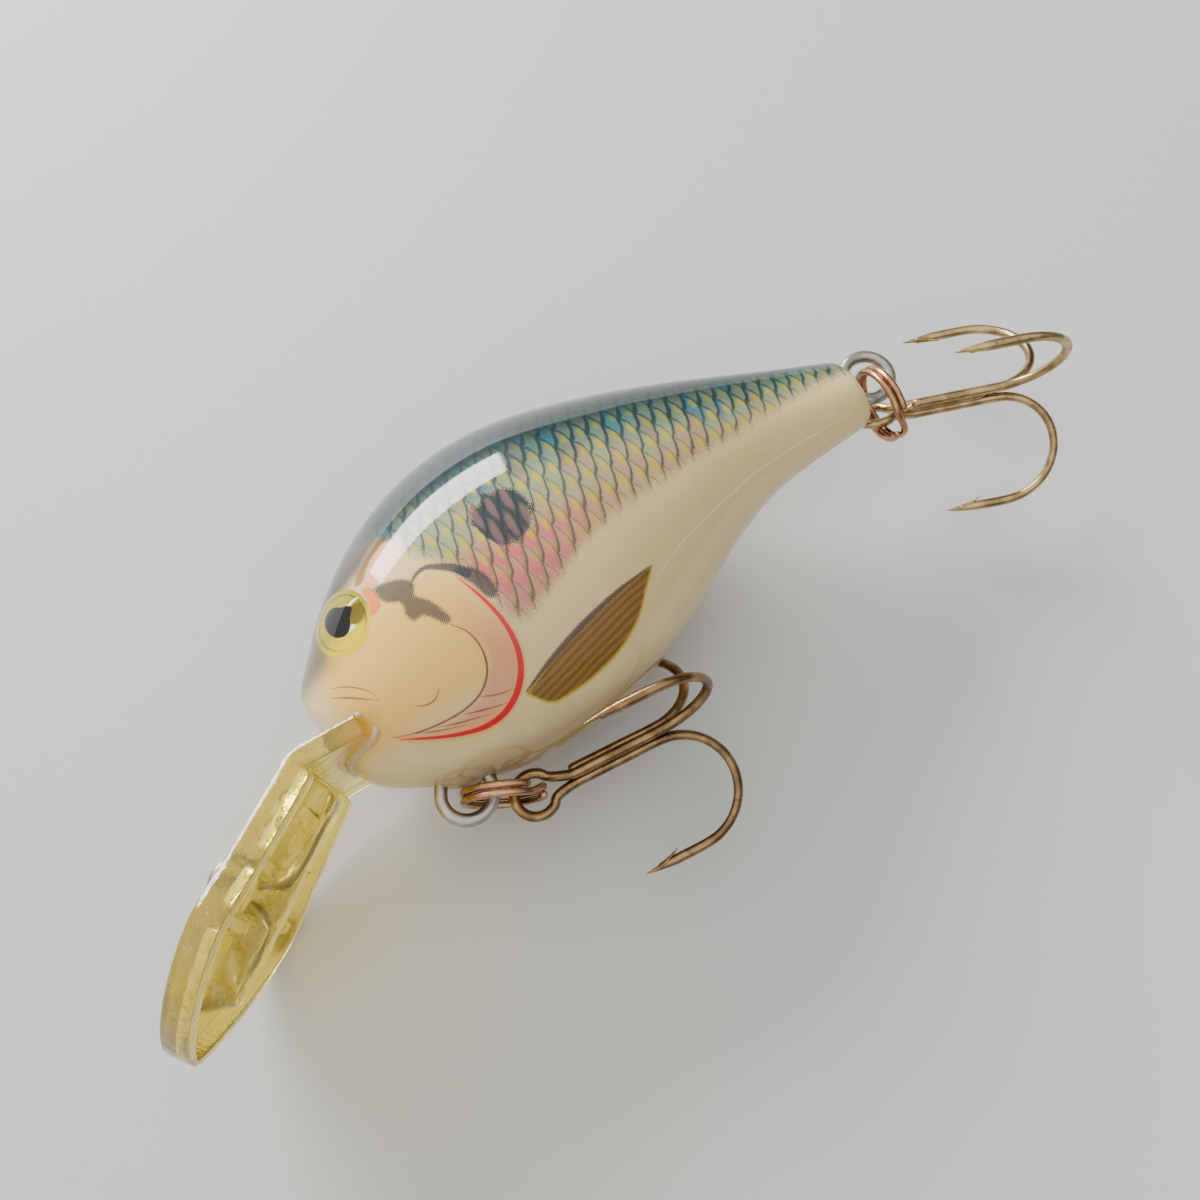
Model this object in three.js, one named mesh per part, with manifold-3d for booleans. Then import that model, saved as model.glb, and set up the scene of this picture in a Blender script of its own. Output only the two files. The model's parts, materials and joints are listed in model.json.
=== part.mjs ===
// Crankbait lure lying on its right side, built as separate pieces.
// Millimetres. The snout points to -X, the tail to +X, the back to +Y and the left side up to +Z.
// Every piece is drawn about the snout, in the plane where the two body halves meet, and the whole
// lure is then moved so that the origin is the middle of the bottom of its bounding box.

import * as THREE from 'three';
import { mergeVertices } from 'three/addons/utils/BufferGeometryUtils.js';
import Module from 'manifold-3d';

const wasm = await Module();
wasm.setup();

// ---- Driving dimensions ----

const BODY_LENGTH = 50.2;
const BODY_HALF_WIDTH = 9.2;
const WALL = 1.5;
const SEAM_GAP = 0.3;
const FIT_GAP = 0.3;

const LIP_LENGTH = 21.2;
const LIP_HALF_WIDTH = 9.5;
const LIP_ANGLE = 36.5;
const LIP_WEB = 1.0;
const LIP_RIM = 2.2;
const LIP_RIM_WIDTH = 1.9;
const LIP_SPINE = 3.0;
const LIP_SPINE_HALF_WIDTH = 1.9;
const LIP_RIBS = [7.4, 11.5];
const LIP_RIB = 1.2;
const LIP_RIB_STEP = 0.4;
const TONGUE = 1.6;
const TONGUE_DEPTH = 5.0;
const TONGUE_HALF_WIDTH = 7.2;
const BOND = 0.4;

const HANGER_WIRE = 1.0;
const HANGER_LOOP = 3.9;
const LINE_TIE_WIRE = 0.9;
const LINE_TIE_LOOP = 3.0;
const RING_WIRE = 0.55;
const RING_DIAMETER = 5.9;
const HOOK_WIRE = 0.8;
const HOOK_EYE = 3.2;
const HOOK_SHANK = 10.1;
const HOOK_BEND_RADIUS = 4.4;
const HOOK_POINT_LENGTH = 5.2;

const KNOCKER_BALL = 5;
const RATTLE_BALL = 3.2;
const BALL_CLEARANCE = 0.4;
const BALLAST_DIAMETER = 6;
const BALLAST_LENGTH = 9;

const DEGREE = Math.PI / 180;

// ---- Colours and finishes ----

const finish = {
  painted_shell: { color: 0xe6dcc4, roughness: 0.2, metalness: 0 },
  clear_plastic: { color: 0xd8b85a, roughness: 0.12, metalness: 0 },
  adhesive: { color: 0xe8dcae, roughness: 0.2, metalness: 0 },
  steel_wire: { color: 0xc8c4b8, roughness: 0.3, metalness: 1 },
  ring_wire: { color: 0x9a5f38, roughness: 0.25, metalness: 1 },
  hook_wire: { color: 0x8a6a3c, roughness: 0.3, metalness: 1 },
  steel_ball: { color: 0xb8bcc0, roughness: 0.15, metalness: 1 },
  ballast: { color: 0x6c6f74, roughness: 0.5, metalness: 1 },
};

const lure = new THREE.Group();

function addPiece(name, geometry, finishName, parent = lure) {
  const mesh = new THREE.Mesh(geometry, new THREE.MeshStandardMaterial(finish[finishName]));
  mesh.name = name;
  parent.add(mesh);
}

// ---- Solids ----

function toSolid(geometry) {
  const bare = geometry.clone();
  bare.deleteAttribute('normal');
  bare.deleteAttribute('uv');
  const merged = mergeVertices(bare, 1e-4);
  const index = merged.index.array;
  const triangles = [];
  for (let i = 0; i < index.length; i += 3) {
    const [a, b, c] = index.slice(i, i + 3);
    if (a !== b && b !== c && c !== a) {
      triangles.push(a, b, c);
    }
  }
  return new wasm.Manifold(
    new wasm.Mesh({
      numProp: 3,
      vertProperties: Float32Array.from(merged.attributes.position.array),
      triVerts: Uint32Array.from(triangles),
    }),
  );
}

function toGeometry(solid) {
  const mesh = solid.getMesh();
  const geometry = new THREE.BufferGeometry();
  geometry.setAttribute('position', new THREE.BufferAttribute(mesh.vertProperties, 3));
  geometry.setIndex(new THREE.BufferAttribute(mesh.triVerts, 1));
  geometry.computeVertexNormals();
  return geometry;
}

function box(low, high) {
  const [x, y, z] = high.map((value, i) => value - low[i]);
  const geometry = new THREE.BoxGeometry(x, y, z);
  geometry.translate((low[0] + high[0]) / 2, (low[1] + high[1]) / 2, (low[2] + high[2]) / 2);
  return geometry;
}

const alongX = new THREE.Vector3(1, 0, 0);
const alongY = new THREE.Vector3(0, 1, 0);
const alongZ = new THREE.Vector3(0, 0, 1);

function turned(geometry, direction, centre) {
  geometry.applyQuaternion(new THREE.Quaternion().setFromUnitVectors(alongY, direction));
  geometry.translate(...centre);
  return geometry;
}

function rod(diameter, length, centre, direction, sides = 18) {
  const geometry = new THREE.CylinderGeometry(diameter / 2, diameter / 2, length, sides);
  return turned(geometry, direction, centre);
}

function wire(path, diameter, steps, sides = 6) {
  const corners = [];
  for (let i = 0; i < sides; i++) {
    const angle = (2 * Math.PI * i) / sides;
    corners.push(new THREE.Vector2(Math.cos(angle), Math.sin(angle)).multiplyScalar(diameter / 2));
  }
  return new THREE.ExtrudeGeometry(new THREE.Shape(corners), { steps, extrudePath: path });
}

function wireBore(diameter) {
  return diameter + 2 * FIT_GAP + 0.1;
}

function smoothPath(points) {
  const vectors = points.map(([x, y, z = 0]) => new THREE.Vector3(x, y, z));
  return new THREE.CatmullRomCurve3(vectors, false, 'centripetal');
}

function arcPoints(centre, radius, from, to, count) {
  const points = [];
  for (let i = 0; i <= count; i++) {
    const angle = (from + ((to - from) * i) / count) * DEGREE;
    points.push([centre[0] + radius * Math.cos(angle), centre[1] + radius * Math.sin(angle)]);
  }
  return points;
}

// ---- Wire hangers: a loop outside the body, two legs and turned feet inside it ----

const bellyLoop = { centre: [7.4, -12.35], turn: -90 };
const tailLoop = { centre: [51.8, 1.15], turn: 0 };
const HANGER_LEG = 6.5;
const HANGER_STEPS = 38;

function hangerSide(extra) {
  const radius = HANGER_LOOP / 2;
  const neck = 0.6;
  return [
    [-HANGER_LEG, 3 + extra],
    [-HANGER_LEG, 2.2],
    [-HANGER_LEG + 0.5, 1.2],
    [-HANGER_LEG + 1.5, neck],
    [-radius - 1.4, neck],
    [-radius - 0.2, 1.1],
    ...arcPoints([0, 0], radius, 125, 0, 6),
  ];
}

function placedPath(outline, { centre, turn }) {
  const cos = Math.cos(turn * DEGREE);
  const sin = Math.sin(turn * DEGREE);
  return smoothPath(
    outline.map(([x, y]) => [centre[0] + x * cos - y * sin, centre[1] + x * sin + y * cos]),
  );
}

function hangerWire(loop) {
  const side = hangerSide(0);
  const otherSide = side.slice(0, -1).reverse().map(([x, y]) => [x, -y]);
  return wire(placedPath([...side, ...otherSide], loop), HANGER_WIRE, HANGER_STEPS);
}

function hangerBore(loop) {
  const side = hangerSide(FIT_GAP);
  const bores = [1, -1].map((hand) => {
    const path = placedPath(side.map(([x, y]) => [x, hand * y]), loop);
    return toSolid(wire(path, wireBore(HANGER_WIRE), HANGER_STEPS / 2));
  });
  return bores[0].add(bores[1]);
}

const hangers = { belly_hanger: bellyLoop, tail_hanger: tailLoop };
Object.entries(hangers).forEach(([name, loop]) => addPiece(name, hangerWire(loop), 'steel_wire'));

// ---- Body halves ----

function profile(points) {
  const curve = new THREE.SplineCurve(points.map(([x, y]) => new THREE.Vector2(x, y)));
  const samples = curve.getPoints(40 * points.length);
  return (x) => {
    const next = samples.findIndex((p) => p.x >= x);
    if (next < 1) {
      return samples.at(next).y;
    }
    const a = samples[next - 1];
    const b = samples[next];
    return a.y + ((b.y - a.y) * (x - a.x)) / (b.x - a.x);
  };
}

const backLine = profile([
  [0, -1.6], [0.25, 0.35], [1.6, 2.1], [4.7, 5.5], [9.1, 9.0], [14.8, 11.6],
  [21, 12.4], [28, 11.35], [36, 8.95], [44.7, 5.55], [BODY_LENGTH, 3.45],
]);
const bellyLine = profile([
  [0, -1.6], [0.4, -4.6], [1.4, -7.8], [3.4, -9.5], [8.5, -11.8], [14.6, -12.8],
  [22.2, -11.8], [29, -8.9], [35.7, -5.3], [41.4, -3.3], [BODY_LENGTH, -2.3],
]);
const sideLine = profile([
  [0, 0], [0.4, 2.6], [2, 4.9], [5, 7.1], [10, 8.8], [16, BODY_HALF_WIDTH],
  [24, 8.6], [32, 6.6], [40, 4.4], [BODY_LENGTH, 2.3],
]);

const BODY_STATIONS = [
  0.12, 0.4, 0.9, 1.7, 2.8, 4.4, 6.5, 9, 12, 15.5, 19, 23, 27, 31, 35, 39, 43, 46.5, 48.8,
];
const BODY_SIDES = 28;
const TAIL_ROUNDING = [[0.6, 0.97], [0.2, 0.88], [0, 0.72]];
const CAVITY_END = 42;

function bodyForm(front, rear, inset, endRounding) {
  const stations = BODY_STATIONS.filter((x) => x > front && x < rear - 1).map((x) => [x, 1]);
  const ends = endRounding.map(([back, share]) => [rear - back, share]);
  const outline = [[front, 0], ...stations, ...ends, [rear, 0]];
  const lathe = new THREE.LatheGeometry(
    outline.map(([x, share]) => new THREE.Vector2(share, x)),
    BODY_SIDES,
  );
  const position = lathe.attributes.position;
  for (let i = 0; i < position.count; i++) {
    const x = position.getY(i);
    const top = backLine(x) - inset;
    const bottom = bellyLine(x) + inset;
    const y = (top + bottom) / 2 + ((top - bottom) / 2) * position.getX(i);
    position.setXYZ(i, x, y, -(sideLine(x) - inset) * position.getZ(i));
  }
  return toSolid(lathe);
}

const ballastCentre = [14.5, -8, 0];
const BALLAST_COLLAR = 1.5;
const chambers = [
  { ball: 'knocker_ball', diameter: KNOCKER_BALL, from: 16, to: 29.5, y: 4.6 },
  { ball: 'rattle_ball_1', diameter: RATTLE_BALL, from: 19.5, to: 25.5, y: -3.2 },
  { ball: 'rattle_ball_2', diameter: RATTLE_BALL, from: 27, to: 33, y: -1.8 },
  { ball: 'rattle_ball_3', diameter: RATTLE_BALL, from: 32, to: 38, y: 3.4 },
];
const BULKHEADS = [18, 30.6, 38.8];
const BULKHEAD = 1.2;
const CHAMBER_WALL = 1.1;

function chamberRod({ diameter, from, to, y }, wall) {
  const length = to - from + 2 * wall;
  const bore = diameter + 2 * BALL_CLEARANCE + 2 * wall;
  return toSolid(rod(bore, length, [(from + to) / 2, y, 0], alongX));
}

function ballastRod(grown) {
  const pocket = rod(BALLAST_DIAMETER + 2 * grown, BALLAST_LENGTH + 2 * grown, ballastCentre, alongZ);
  return toSolid(pocket);
}

// Bulkheads, ball chambers and blocks that the walls keep when the inside is hollowed out.
function insideForms() {
  const forms = chambers.map((chamber) => chamberRod(chamber, CHAMBER_WALL));
  BULKHEADS.forEach((x) => {
    forms.push(toSolid(box([x, -14, -10], [x + BULKHEAD, 14, 10])));
  });
  forms.push(ballastRod(BALLAST_COLLAR));
  forms.push(toSolid(box([3.4, -12, -2.4], [11.4, -4.2, 2.4])));
  return forms;
}

const LIP_CORNER = [-1.6, -5.0];
const SLOT_END = LIP_CORNER[0] + TONGUE_DEPTH + FIT_GAP;
const SLOT_TOP = LIP_CORNER[1] + 2 * FIT_GAP + BOND;
const SLOT_BOTTOM = LIP_CORNER[1] - TONGUE - FIT_GAP;

function bodySolid() {
  const outside = bodyForm(0, BODY_LENGTH, 0, TAIL_ROUNDING);
  const cavity = insideForms().reduce(
    (space, form) => space.subtract(form),
    bodyForm(2.8, CAVITY_END, WALL, [[0, 1]]),
  );
  const cuts = chambers.map((chamber) => chamberRod(chamber, 0));
  cuts.push(ballastRod(FIT_GAP));
  Object.values(hangers).forEach((loop) => cuts.push(hangerBore(loop)));
  cuts.push(toSolid(box([-5, SLOT_BOTTOM, -12], [SLOT_END, SLOT_TOP, 12])));
  return cuts.reduce((body, cut) => body.subtract(cut), outside.subtract(cavity));
}

const body = bodySolid();
['left', 'right'].forEach((side) => {
  const low = side === 'left' ? SEAM_GAP / 2 : -12;
  const high = side === 'left' ? 12 : -SEAM_GAP / 2;
  const half = body.intersect(toSolid(box([-2, -15, low], [52, 15, high])));
  addPiece(`body_${side}`, toGeometry(half), 'painted_shell');
});

// ---- Pieces held inside the body ----

addPiece('ballast_weight', rod(BALLAST_DIAMETER, BALLAST_LENGTH, ballastCentre, alongZ), 'ballast');

chambers.forEach(({ ball, diameter, from, to, y }) => {
  const geometry = new THREE.SphereGeometry(diameter / 2, 14, 9);
  geometry.translate((from + to) / 2, y, 0);
  addPiece(ball, geometry, 'steel_ball');
});

// ---- Diving lip: a tongue in the chin slot, bent down into a ribbed blade ----
// Blade axes: x along the blade, y across it, z out of its front face.

const blade = new THREE.Matrix4()
  .makeBasis(
    new THREE.Vector3(-Math.cos(LIP_ANGLE * DEGREE), -Math.sin(LIP_ANGLE * DEGREE), 0),
    new THREE.Vector3(0, 0, 1),
    new THREE.Vector3(-Math.sin(LIP_ANGLE * DEGREE), Math.cos(LIP_ANGLE * DEGREE), 0),
  )
  .setPosition(...LIP_CORNER, 0);

function lipSlab(inset, front, back) {
  const tipRadius = 5.6;
  const half = [
    [inset, TONGUE_HALF_WIDTH - inset],
    [7.4, 8.4 - inset],
    [11.2, LIP_HALF_WIDTH - inset],
    [12.6, LIP_HALF_WIDTH - 0.2 - inset],
    [15.2, 8 - inset],
    ...arcPoints([LIP_LENGTH - tipRadius, 0], tipRadius - inset, 62, 0, 5),
  ];
  const mirrored = half.slice(0, -1).reverse().map(([x, y]) => [x, -y]);
  const shape = new THREE.Shape([...half, ...mirrored].map(([x, y]) => new THREE.Vector2(x, y)));
  const geometry = new THREE.ExtrudeGeometry(shape, { depth: front - back, bevelEnabled: false });
  geometry.translate(0, 0, back);
  return toSolid(geometry);
}

const lineTieCentre = [9.5, 1.2];
const LINE_TIE_DEPTH = -2.2;

function lineTiePath(extra = 0) {
  const [u, w] = lineTieCentre;
  const radius = LINE_TIE_LOOP / 2;
  const low = LINE_TIE_DEPTH;
  const rear = [[u - 8 - extra, low], [u - 3.2, low], [u - 2, low + 0.3], [u - 1.2, low / 2]];
  const fore = [[u + 1.2, low / 2], [u + 2, low + 0.3], [u + 3.2, low], [u + 4.6 + extra, low]];
  const loop = arcPoints([u, w], radius, 235, -55, 12);
  return smoothPath([...rear, ...loop, ...fore].map(([x, z]) => [x, 0, z]));
}

function lipSolid() {
  const groove = wireBore(LINE_TIE_WIRE) + 0.15;
  const ribReach = LIP_HALF_WIDTH - 1.4;
  let lip = lipSlab(0, 0, -LIP_RIM).subtract(lipSlab(LIP_RIM_WIDTH, -LIP_WEB, -LIP_RIM - 1));
  const spineHigh = [LIP_LENGTH - 4, LIP_SPINE_HALF_WIDTH, -LIP_WEB / 2];
  lip = lip.add(toSolid(box([0.6, -LIP_SPINE_HALF_WIDTH, -LIP_SPINE], spineHigh)));
  LIP_RIBS.forEach((u) => {
    const low = [u - LIP_RIB / 2, -ribReach, LIP_RIB_STEP - LIP_RIM];
    const high = [u + LIP_RIB / 2, ribReach, -LIP_WEB / 2];
    lip = lip.add(toSolid(box(low, high)));
  });
  lip = lip.subtract(toSolid(wire(lineTiePath(FIT_GAP), groove, 40)));
  const [u] = lineTieCentre;
  [[-8.6, -2], [2, 5.2]].forEach(([from, to]) => {
    const mouth = box([u + from, -groove / 2, -4], [u + to, groove / 2, LINE_TIE_DEPTH]);
    lip = lip.subtract(toSolid(mouth));
  });
  const tongue = box(
    [LIP_CORNER[0], LIP_CORNER[1] - TONGUE, -TONGUE_HALF_WIDTH],
    [LIP_CORNER[0] + TONGUE_DEPTH, LIP_CORNER[1], TONGUE_HALF_WIDTH],
  );
  return lip.transform(blade.toArray()).add(toSolid(tongue));
}

addPiece('diving_lip', toGeometry(lipSolid()), 'clear_plastic');
addPiece('line_tie', wire(lineTiePath(), LINE_TIE_WIRE, 40).applyMatrix4(blade), 'steel_wire');
addPiece(
  'lip_adhesive',
  box(
    [0.6, LIP_CORNER[1] + FIT_GAP, -5.5],
    [SLOT_END - FIT_GAP, LIP_CORNER[1] + FIT_GAP + BOND, 5.5],
  ),
  'adhesive',
);

// ---- Split rings: two turns of wire, drawn in their own XY plane ----

const RING_PITCH = RING_WIRE + 0.07;
const RING_CROSSING = 50;

function ringPath() {
  const points = [];
  const step = 360 / 16;
  for (let turn = 0; turn <= 720 - RING_CROSSING; turn += step) {
    const rise = Math.min(Math.max((turn - 360 + RING_CROSSING) / RING_CROSSING, 0), 1);
    const [x, y] = arcPoints([0, 0], RING_DIAMETER / 2, turn, turn, 1)[0];
    points.push([x, y, RING_PITCH * (rise - 0.5)]);
  }
  return smoothPath(points);
}

// ---- Treble hooks: a double hook bent from one wire round the eye, and a third hook beside it ----
// Own axes: x from the eye along the shank, y and z across it. The eye's middle is the origin.

const EYE_TURN = -43;
const LEG_OFFSET = 0.5;
const THIRD_OFFSET = 0.82;
const POINT_TAPER = 2.4;

function hookBend(direction, offset, shankStart) {
  const centre = [HOOK_SHANK, offset + HOOK_BEND_RADIUS];
  const bend = arcPoints(centre, HOOK_BEND_RADIUS, 90, -90, 10);
  const tip = [HOOK_SHANK - HOOK_POINT_LENGTH + POINT_TAPER, offset + 2 * HOOK_BEND_RADIUS];
  const shank = [HOOK_SHANK * 0.75, HOOK_SHANK * 0.5, shankStart].map((x) => [x, offset]);
  const across = [Math.cos(direction * DEGREE), Math.sin(direction * DEGREE)];
  return [tip, ...bend, ...shank].map(([x, r]) => [x, r * across[0], r * across[1]]);
}

function hookPoint(direction, offset) {
  const reach = offset + 2 * HOOK_BEND_RADIUS;
  const start = HOOK_SHANK - HOOK_POINT_LENGTH + POINT_TAPER;
  const across = new THREE.Vector3(0, Math.cos(direction * DEGREE), Math.sin(direction * DEGREE));
  const cone = new THREE.ConeGeometry(HOOK_WIRE / 2, POINT_TAPER + 0.4, 6);
  turned(cone, alongX.clone().negate(), [0, 0, 0]);
  cone.translate(start - POINT_TAPER / 2, 0, 0);
  cone.translate(0, across.y * reach, across.z * reach);
  const barb = new THREE.ConeGeometry(0.3, 1.5, 5);
  const lean = alongX.clone().multiplyScalar(0.93).addScaledVector(across, -0.37).normalize();
  const foot = across.clone().multiplyScalar(reach - 0.45);
  turned(barb, lean, [start + 0.9, foot.y, foot.z]);
  return toSolid(cone).add(toSolid(barb));
}

function doubleHook() {
  const first = hookBend(210, LEG_OFFSET, 3.2);
  const second = hookBend(330, LEG_OFFSET, 3.2).reverse();
  const eyeAxis = [Math.cos(EYE_TURN * DEGREE), Math.sin(EYE_TURN * DEGREE)];
  const eye = arcPoints([0, 0], HOOK_EYE / 2, -32, -328, 12);
  const loop = eye.map(([x, y]) => [x, y * eyeAxis[0], y * eyeAxis[1]]);
  const bent = toSolid(wire(smoothPath([...first, ...loop, ...second]), HOOK_WIRE, 84));
  return bent.add(hookPoint(210, LEG_OFFSET)).add(hookPoint(330, LEG_OFFSET));
}

function thirdHook() {
  const path = smoothPath(hookBend(90, THIRD_OFFSET, 3.6));
  return toSolid(wire(path, HOOK_WIRE, 34)).add(hookPoint(90, THIRD_OFFSET));
}

const hookPieces = { double_hook: toGeometry(doubleHook()), third_hook: toGeometry(thirdHook()) };

// ---- Rigging: a split ring hangs in each hanger and a treble hook in each split ring ----

const rigs = [
  {
    end: 'belly',
    link: [6.95, -12.55, 0],
    ringTurn: -24,
    eyeAt: 40,
    lead: 0,
    hook: { yaw: -3.5, pitch: 0, roll: -129 },
  },
  {
    end: 'tail',
    link: [51.6, 1.5, 0],
    ringTurn: -92,
    eyeAt: 98,
    lead: 0.3,
    hook: { yaw: -21, pitch: 7, roll: 3 },
  },
];

rigs.forEach(({ end, link, ringTurn, eyeAt, lead, hook }) => {
  const out = new THREE.Vector3(Math.cos(ringTurn * DEGREE), Math.sin(ringTurn * DEGREE), 0);
  const down = alongZ.clone().negate();
  const axis = new THREE.Vector3().crossVectors(out, down);
  const centre = new THREE.Vector3(...link).addScaledVector(out, RING_DIAMETER / 2);
  const ring = wire(ringPath(), RING_WIRE, 46);
  ring.applyMatrix4(new THREE.Matrix4().makeBasis(out, down, axis).setPosition(centre));
  addPiece(`${end}_split_ring`, ring, 'ring_wire');

  const treble = new THREE.Group();
  treble.rotation.order = 'ZYX';
  treble.rotation.set(hook.roll * DEGREE, -hook.pitch * DEGREE, hook.yaw * DEGREE);
  treble.position.copy(centre);
  treble.position.addScaledVector(out, (RING_DIAMETER / 2) * Math.cos(eyeAt * DEGREE));
  treble.position.addScaledVector(down, (RING_DIAMETER / 2) * Math.sin(eyeAt * DEGREE));
  treble.position.add(alongX.clone().applyEuler(treble.rotation).multiplyScalar(lead));
  Object.entries(hookPieces).forEach(([piece, geometry]) => {
    addPiece(`${end}_treble_${piece}`, geometry.clone(), 'hook_wire', treble);
  });
  lure.add(treble);
});

// ---- Origin at the middle of the bottom of the bounding box ----

const part = new THREE.Group();
part.add(lure);
part.updateMatrixWorld(true);
const bounds = new THREE.Box3().setFromObject(part, true);
lure.position.set(
  -(bounds.min.x + bounds.max.x) / 2,
  -(bounds.min.y + bounds.max.y) / 2,
  -bounds.min.z,
);

export default part;
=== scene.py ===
# A crankbait lure lying on its right side: smooth painted shells, a ribbed clear lip, round wire
# hangers, split rings and treble hooks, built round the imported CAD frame.
# Shapes are drawn in the lure's own millimetres: x from the snout to the tail, y from the belly to
# the back, z out of the left side, with z = 0 in the plane where the two body halves meet.

import json
import math

import bpy
import numpy as np
from mathutils import Matrix, Vector


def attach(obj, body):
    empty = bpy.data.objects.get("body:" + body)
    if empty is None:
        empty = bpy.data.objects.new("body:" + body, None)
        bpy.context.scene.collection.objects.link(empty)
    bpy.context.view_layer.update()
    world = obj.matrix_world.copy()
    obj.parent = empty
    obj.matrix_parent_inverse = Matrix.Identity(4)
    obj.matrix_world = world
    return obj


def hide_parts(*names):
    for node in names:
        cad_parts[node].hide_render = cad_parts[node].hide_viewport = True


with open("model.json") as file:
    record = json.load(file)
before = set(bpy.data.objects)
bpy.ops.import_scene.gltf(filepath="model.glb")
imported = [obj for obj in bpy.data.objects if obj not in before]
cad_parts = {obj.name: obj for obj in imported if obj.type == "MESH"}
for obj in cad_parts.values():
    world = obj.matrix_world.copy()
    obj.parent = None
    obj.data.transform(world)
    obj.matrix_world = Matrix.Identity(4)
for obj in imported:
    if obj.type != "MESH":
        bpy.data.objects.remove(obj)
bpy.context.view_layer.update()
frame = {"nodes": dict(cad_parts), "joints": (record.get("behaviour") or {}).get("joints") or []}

MM = 0.001

# ---- Driving dimensions, in millimetres and degrees, the same as the CAD's ----

BODY_LENGTH = 50.2
BODY_HALF_WIDTH = 9.2
LIP_ANGLE = 36.5
LIP_CORNER = (-1.6, -5)
LIP_THICKNESS = 2.2
LIP_WEB = 1.0
LIP_SPINE = 3.0
LIP_RIBS = (7.4, 11.5)
TONGUE_THICKNESS = 1.6
TONGUE_DEPTH = 5.0
HANGER_WIRE = 1.0
HANGER_LOOP = 3.9
HANGER_LEG = 6.5
HANGERS = {
    "belly": {"centre": (7.4, -12.35), "turn": -90},
    "tail": {"centre": (51.8, 1.15), "turn": 0},
}
HANGER_NECK = 0.6
LINE_TIE_WIRE = 0.9
LINE_TIE_LOOP = 3.0
LINE_TIE_PLACE = (9.5, 1.2)
LINE_TIE_DEPTH = 2.2
RING_WIRE = 0.55
RING_DIAMETER = 5.9
HOOK_WIRE = 0.8
HOOK_EYE = 3.2
HOOK_SHANK = 10.1
HOOK_BEND_RADIUS = 4.4
HOOK_POINT_LENGTH = 5.2
HOOK_EYE_TURN = -43
RIGS = {
    "belly": {
        "link": (6.95, -12.55, 0), "ring_turn": -24, "lead": 0, "yaw": -3.5, "pitch": 0, "roll": -129,
    },
    "tail": {
        "link": (51.6, 1.5, 0), "ring_turn": -92, "lead": 0.3, "yaw": -21, "pitch": 7, "roll": 3,
    },
}


def joint_place(name):
    joint = next(j for j in frame["joints"] if j["name"] == name)
    return np.array(joint["pos_m"]) / MM


# The lure's own origin, its snout, in the row frame: the tail ring's hinge is a point known in both.
SNOUT = joint_place("tail_ring_swing") - np.array(RIGS["tail"]["link"])


# ---- Curves ----


def spline(points, per_span=24):
    """A centripetal Catmull-Rom curve through the points."""
    points = np.array(points, float)
    ends = [2 * points[0] - points[1]], [2 * points[-1] - points[-2]]
    p = np.concatenate([ends[0], points, ends[1]])
    out = []
    for i in range(len(points) - 1):
        a, b, c, d = p[i : i + 4]
        t0 = 0
        t1 = t0 + np.linalg.norm(b - a) ** 0.5
        t2 = t1 + np.linalg.norm(c - b) ** 0.5
        t3 = t2 + np.linalg.norm(d - c) ** 0.5
        t = np.linspace(t1, t2, per_span, endpoint=i == len(points) - 2)[:, None]
        ab = (t1 - t) / (t1 - t0) * a + (t - t0) / (t1 - t0) * b
        bc = (t2 - t) / (t2 - t1) * b + (t - t1) / (t2 - t1) * c
        cd = (t3 - t) / (t3 - t2) * c + (t - t2) / (t3 - t2) * d
        abc = (t2 - t) / (t2 - t0) * ab + (t - t0) / (t2 - t0) * bc
        bcd = (t3 - t) / (t3 - t1) * bc + (t - t1) / (t3 - t1) * cd
        out.append((t2 - t) / (t2 - t1) * abc + (t - t1) / (t2 - t1) * bcd)
    return np.concatenate(out)


def profile(points):
    """Height along x through the points, by the same uniform Catmull-Rom curve as the CAD's."""
    points = np.array(points, float)
    p = np.concatenate([[2 * points[0] - points[1]], points, [2 * points[-1] - points[-2]]])
    t = np.linspace(0, 1, 40, endpoint=False)[:, None]
    spans = [
        0.5 * (2 * b + (c - a) * t + (2 * a - 5 * b + 4 * c - d) * t**2 + (3 * b - a - 3 * c + d) * t**3)
        for a, b, c, d in zip(p[:-3], p[1:-2], p[2:-1], p[3:])
    ]
    curve = np.concatenate(spans + [points[-1:]])
    return lambda x: np.interp(x, curve[:, 0], curve[:, 1])


def arc(centre, radius, start, end, count):
    angles = np.radians(np.linspace(start, end, count + 1))
    return [(centre[0] + radius * math.cos(a), centre[1] + radius * math.sin(a)) for a in angles]


def smoothstep(low, high, value):
    t = np.clip((value - low) / (high - low), 0, 1)
    return t * t * (3 - 2 * t)


back_line = profile([
    (0, -1.6), (0.25, 0.35), (1.6, 2.1), (4.7, 5.5), (9.1, 9), (14.8, 11.6),
    (21, 12.4), (28, 11.35), (36, 8.95), (44.7, 5.55), (BODY_LENGTH, 3.45),
])
belly_line = profile([
    (0, -1.6), (0.4, -4.6), (1.4, -7.8), (3.4, -9.5), (8.5, -11.8), (14.6, -12.8),
    (22.2, -11.8), (29, -8.9), (35.7, -5.3), (41.4, -3.3), (BODY_LENGTH, -2.3),
])
side_line = profile([
    (0, 0), (0.4, 2.6), (2, 4.9), (5, 7.1), (10, 8.8), (16, BODY_HALF_WIDTH),
    (24, 8.6), (32, 6.6), (40, 4.4), (BODY_LENGTH, 2.3),
])


def flank(x, y):
    """How far the body reaches out sideways at a point of its outline."""
    middle = (back_line(x) + belly_line(x)) / 2
    half = np.maximum((back_line(x) - belly_line(x)) / 2, 1e-6)
    share = np.clip(1 - ((y - middle) / half) ** 2, 0, 1)
    return side_line(x) * np.sqrt(share)


# ---- Meshes ----


def add_object(name, data):
    made = bpy.data.objects.new(name, data)
    bpy.context.scene.collection.objects.link(made)
    return made


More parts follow.
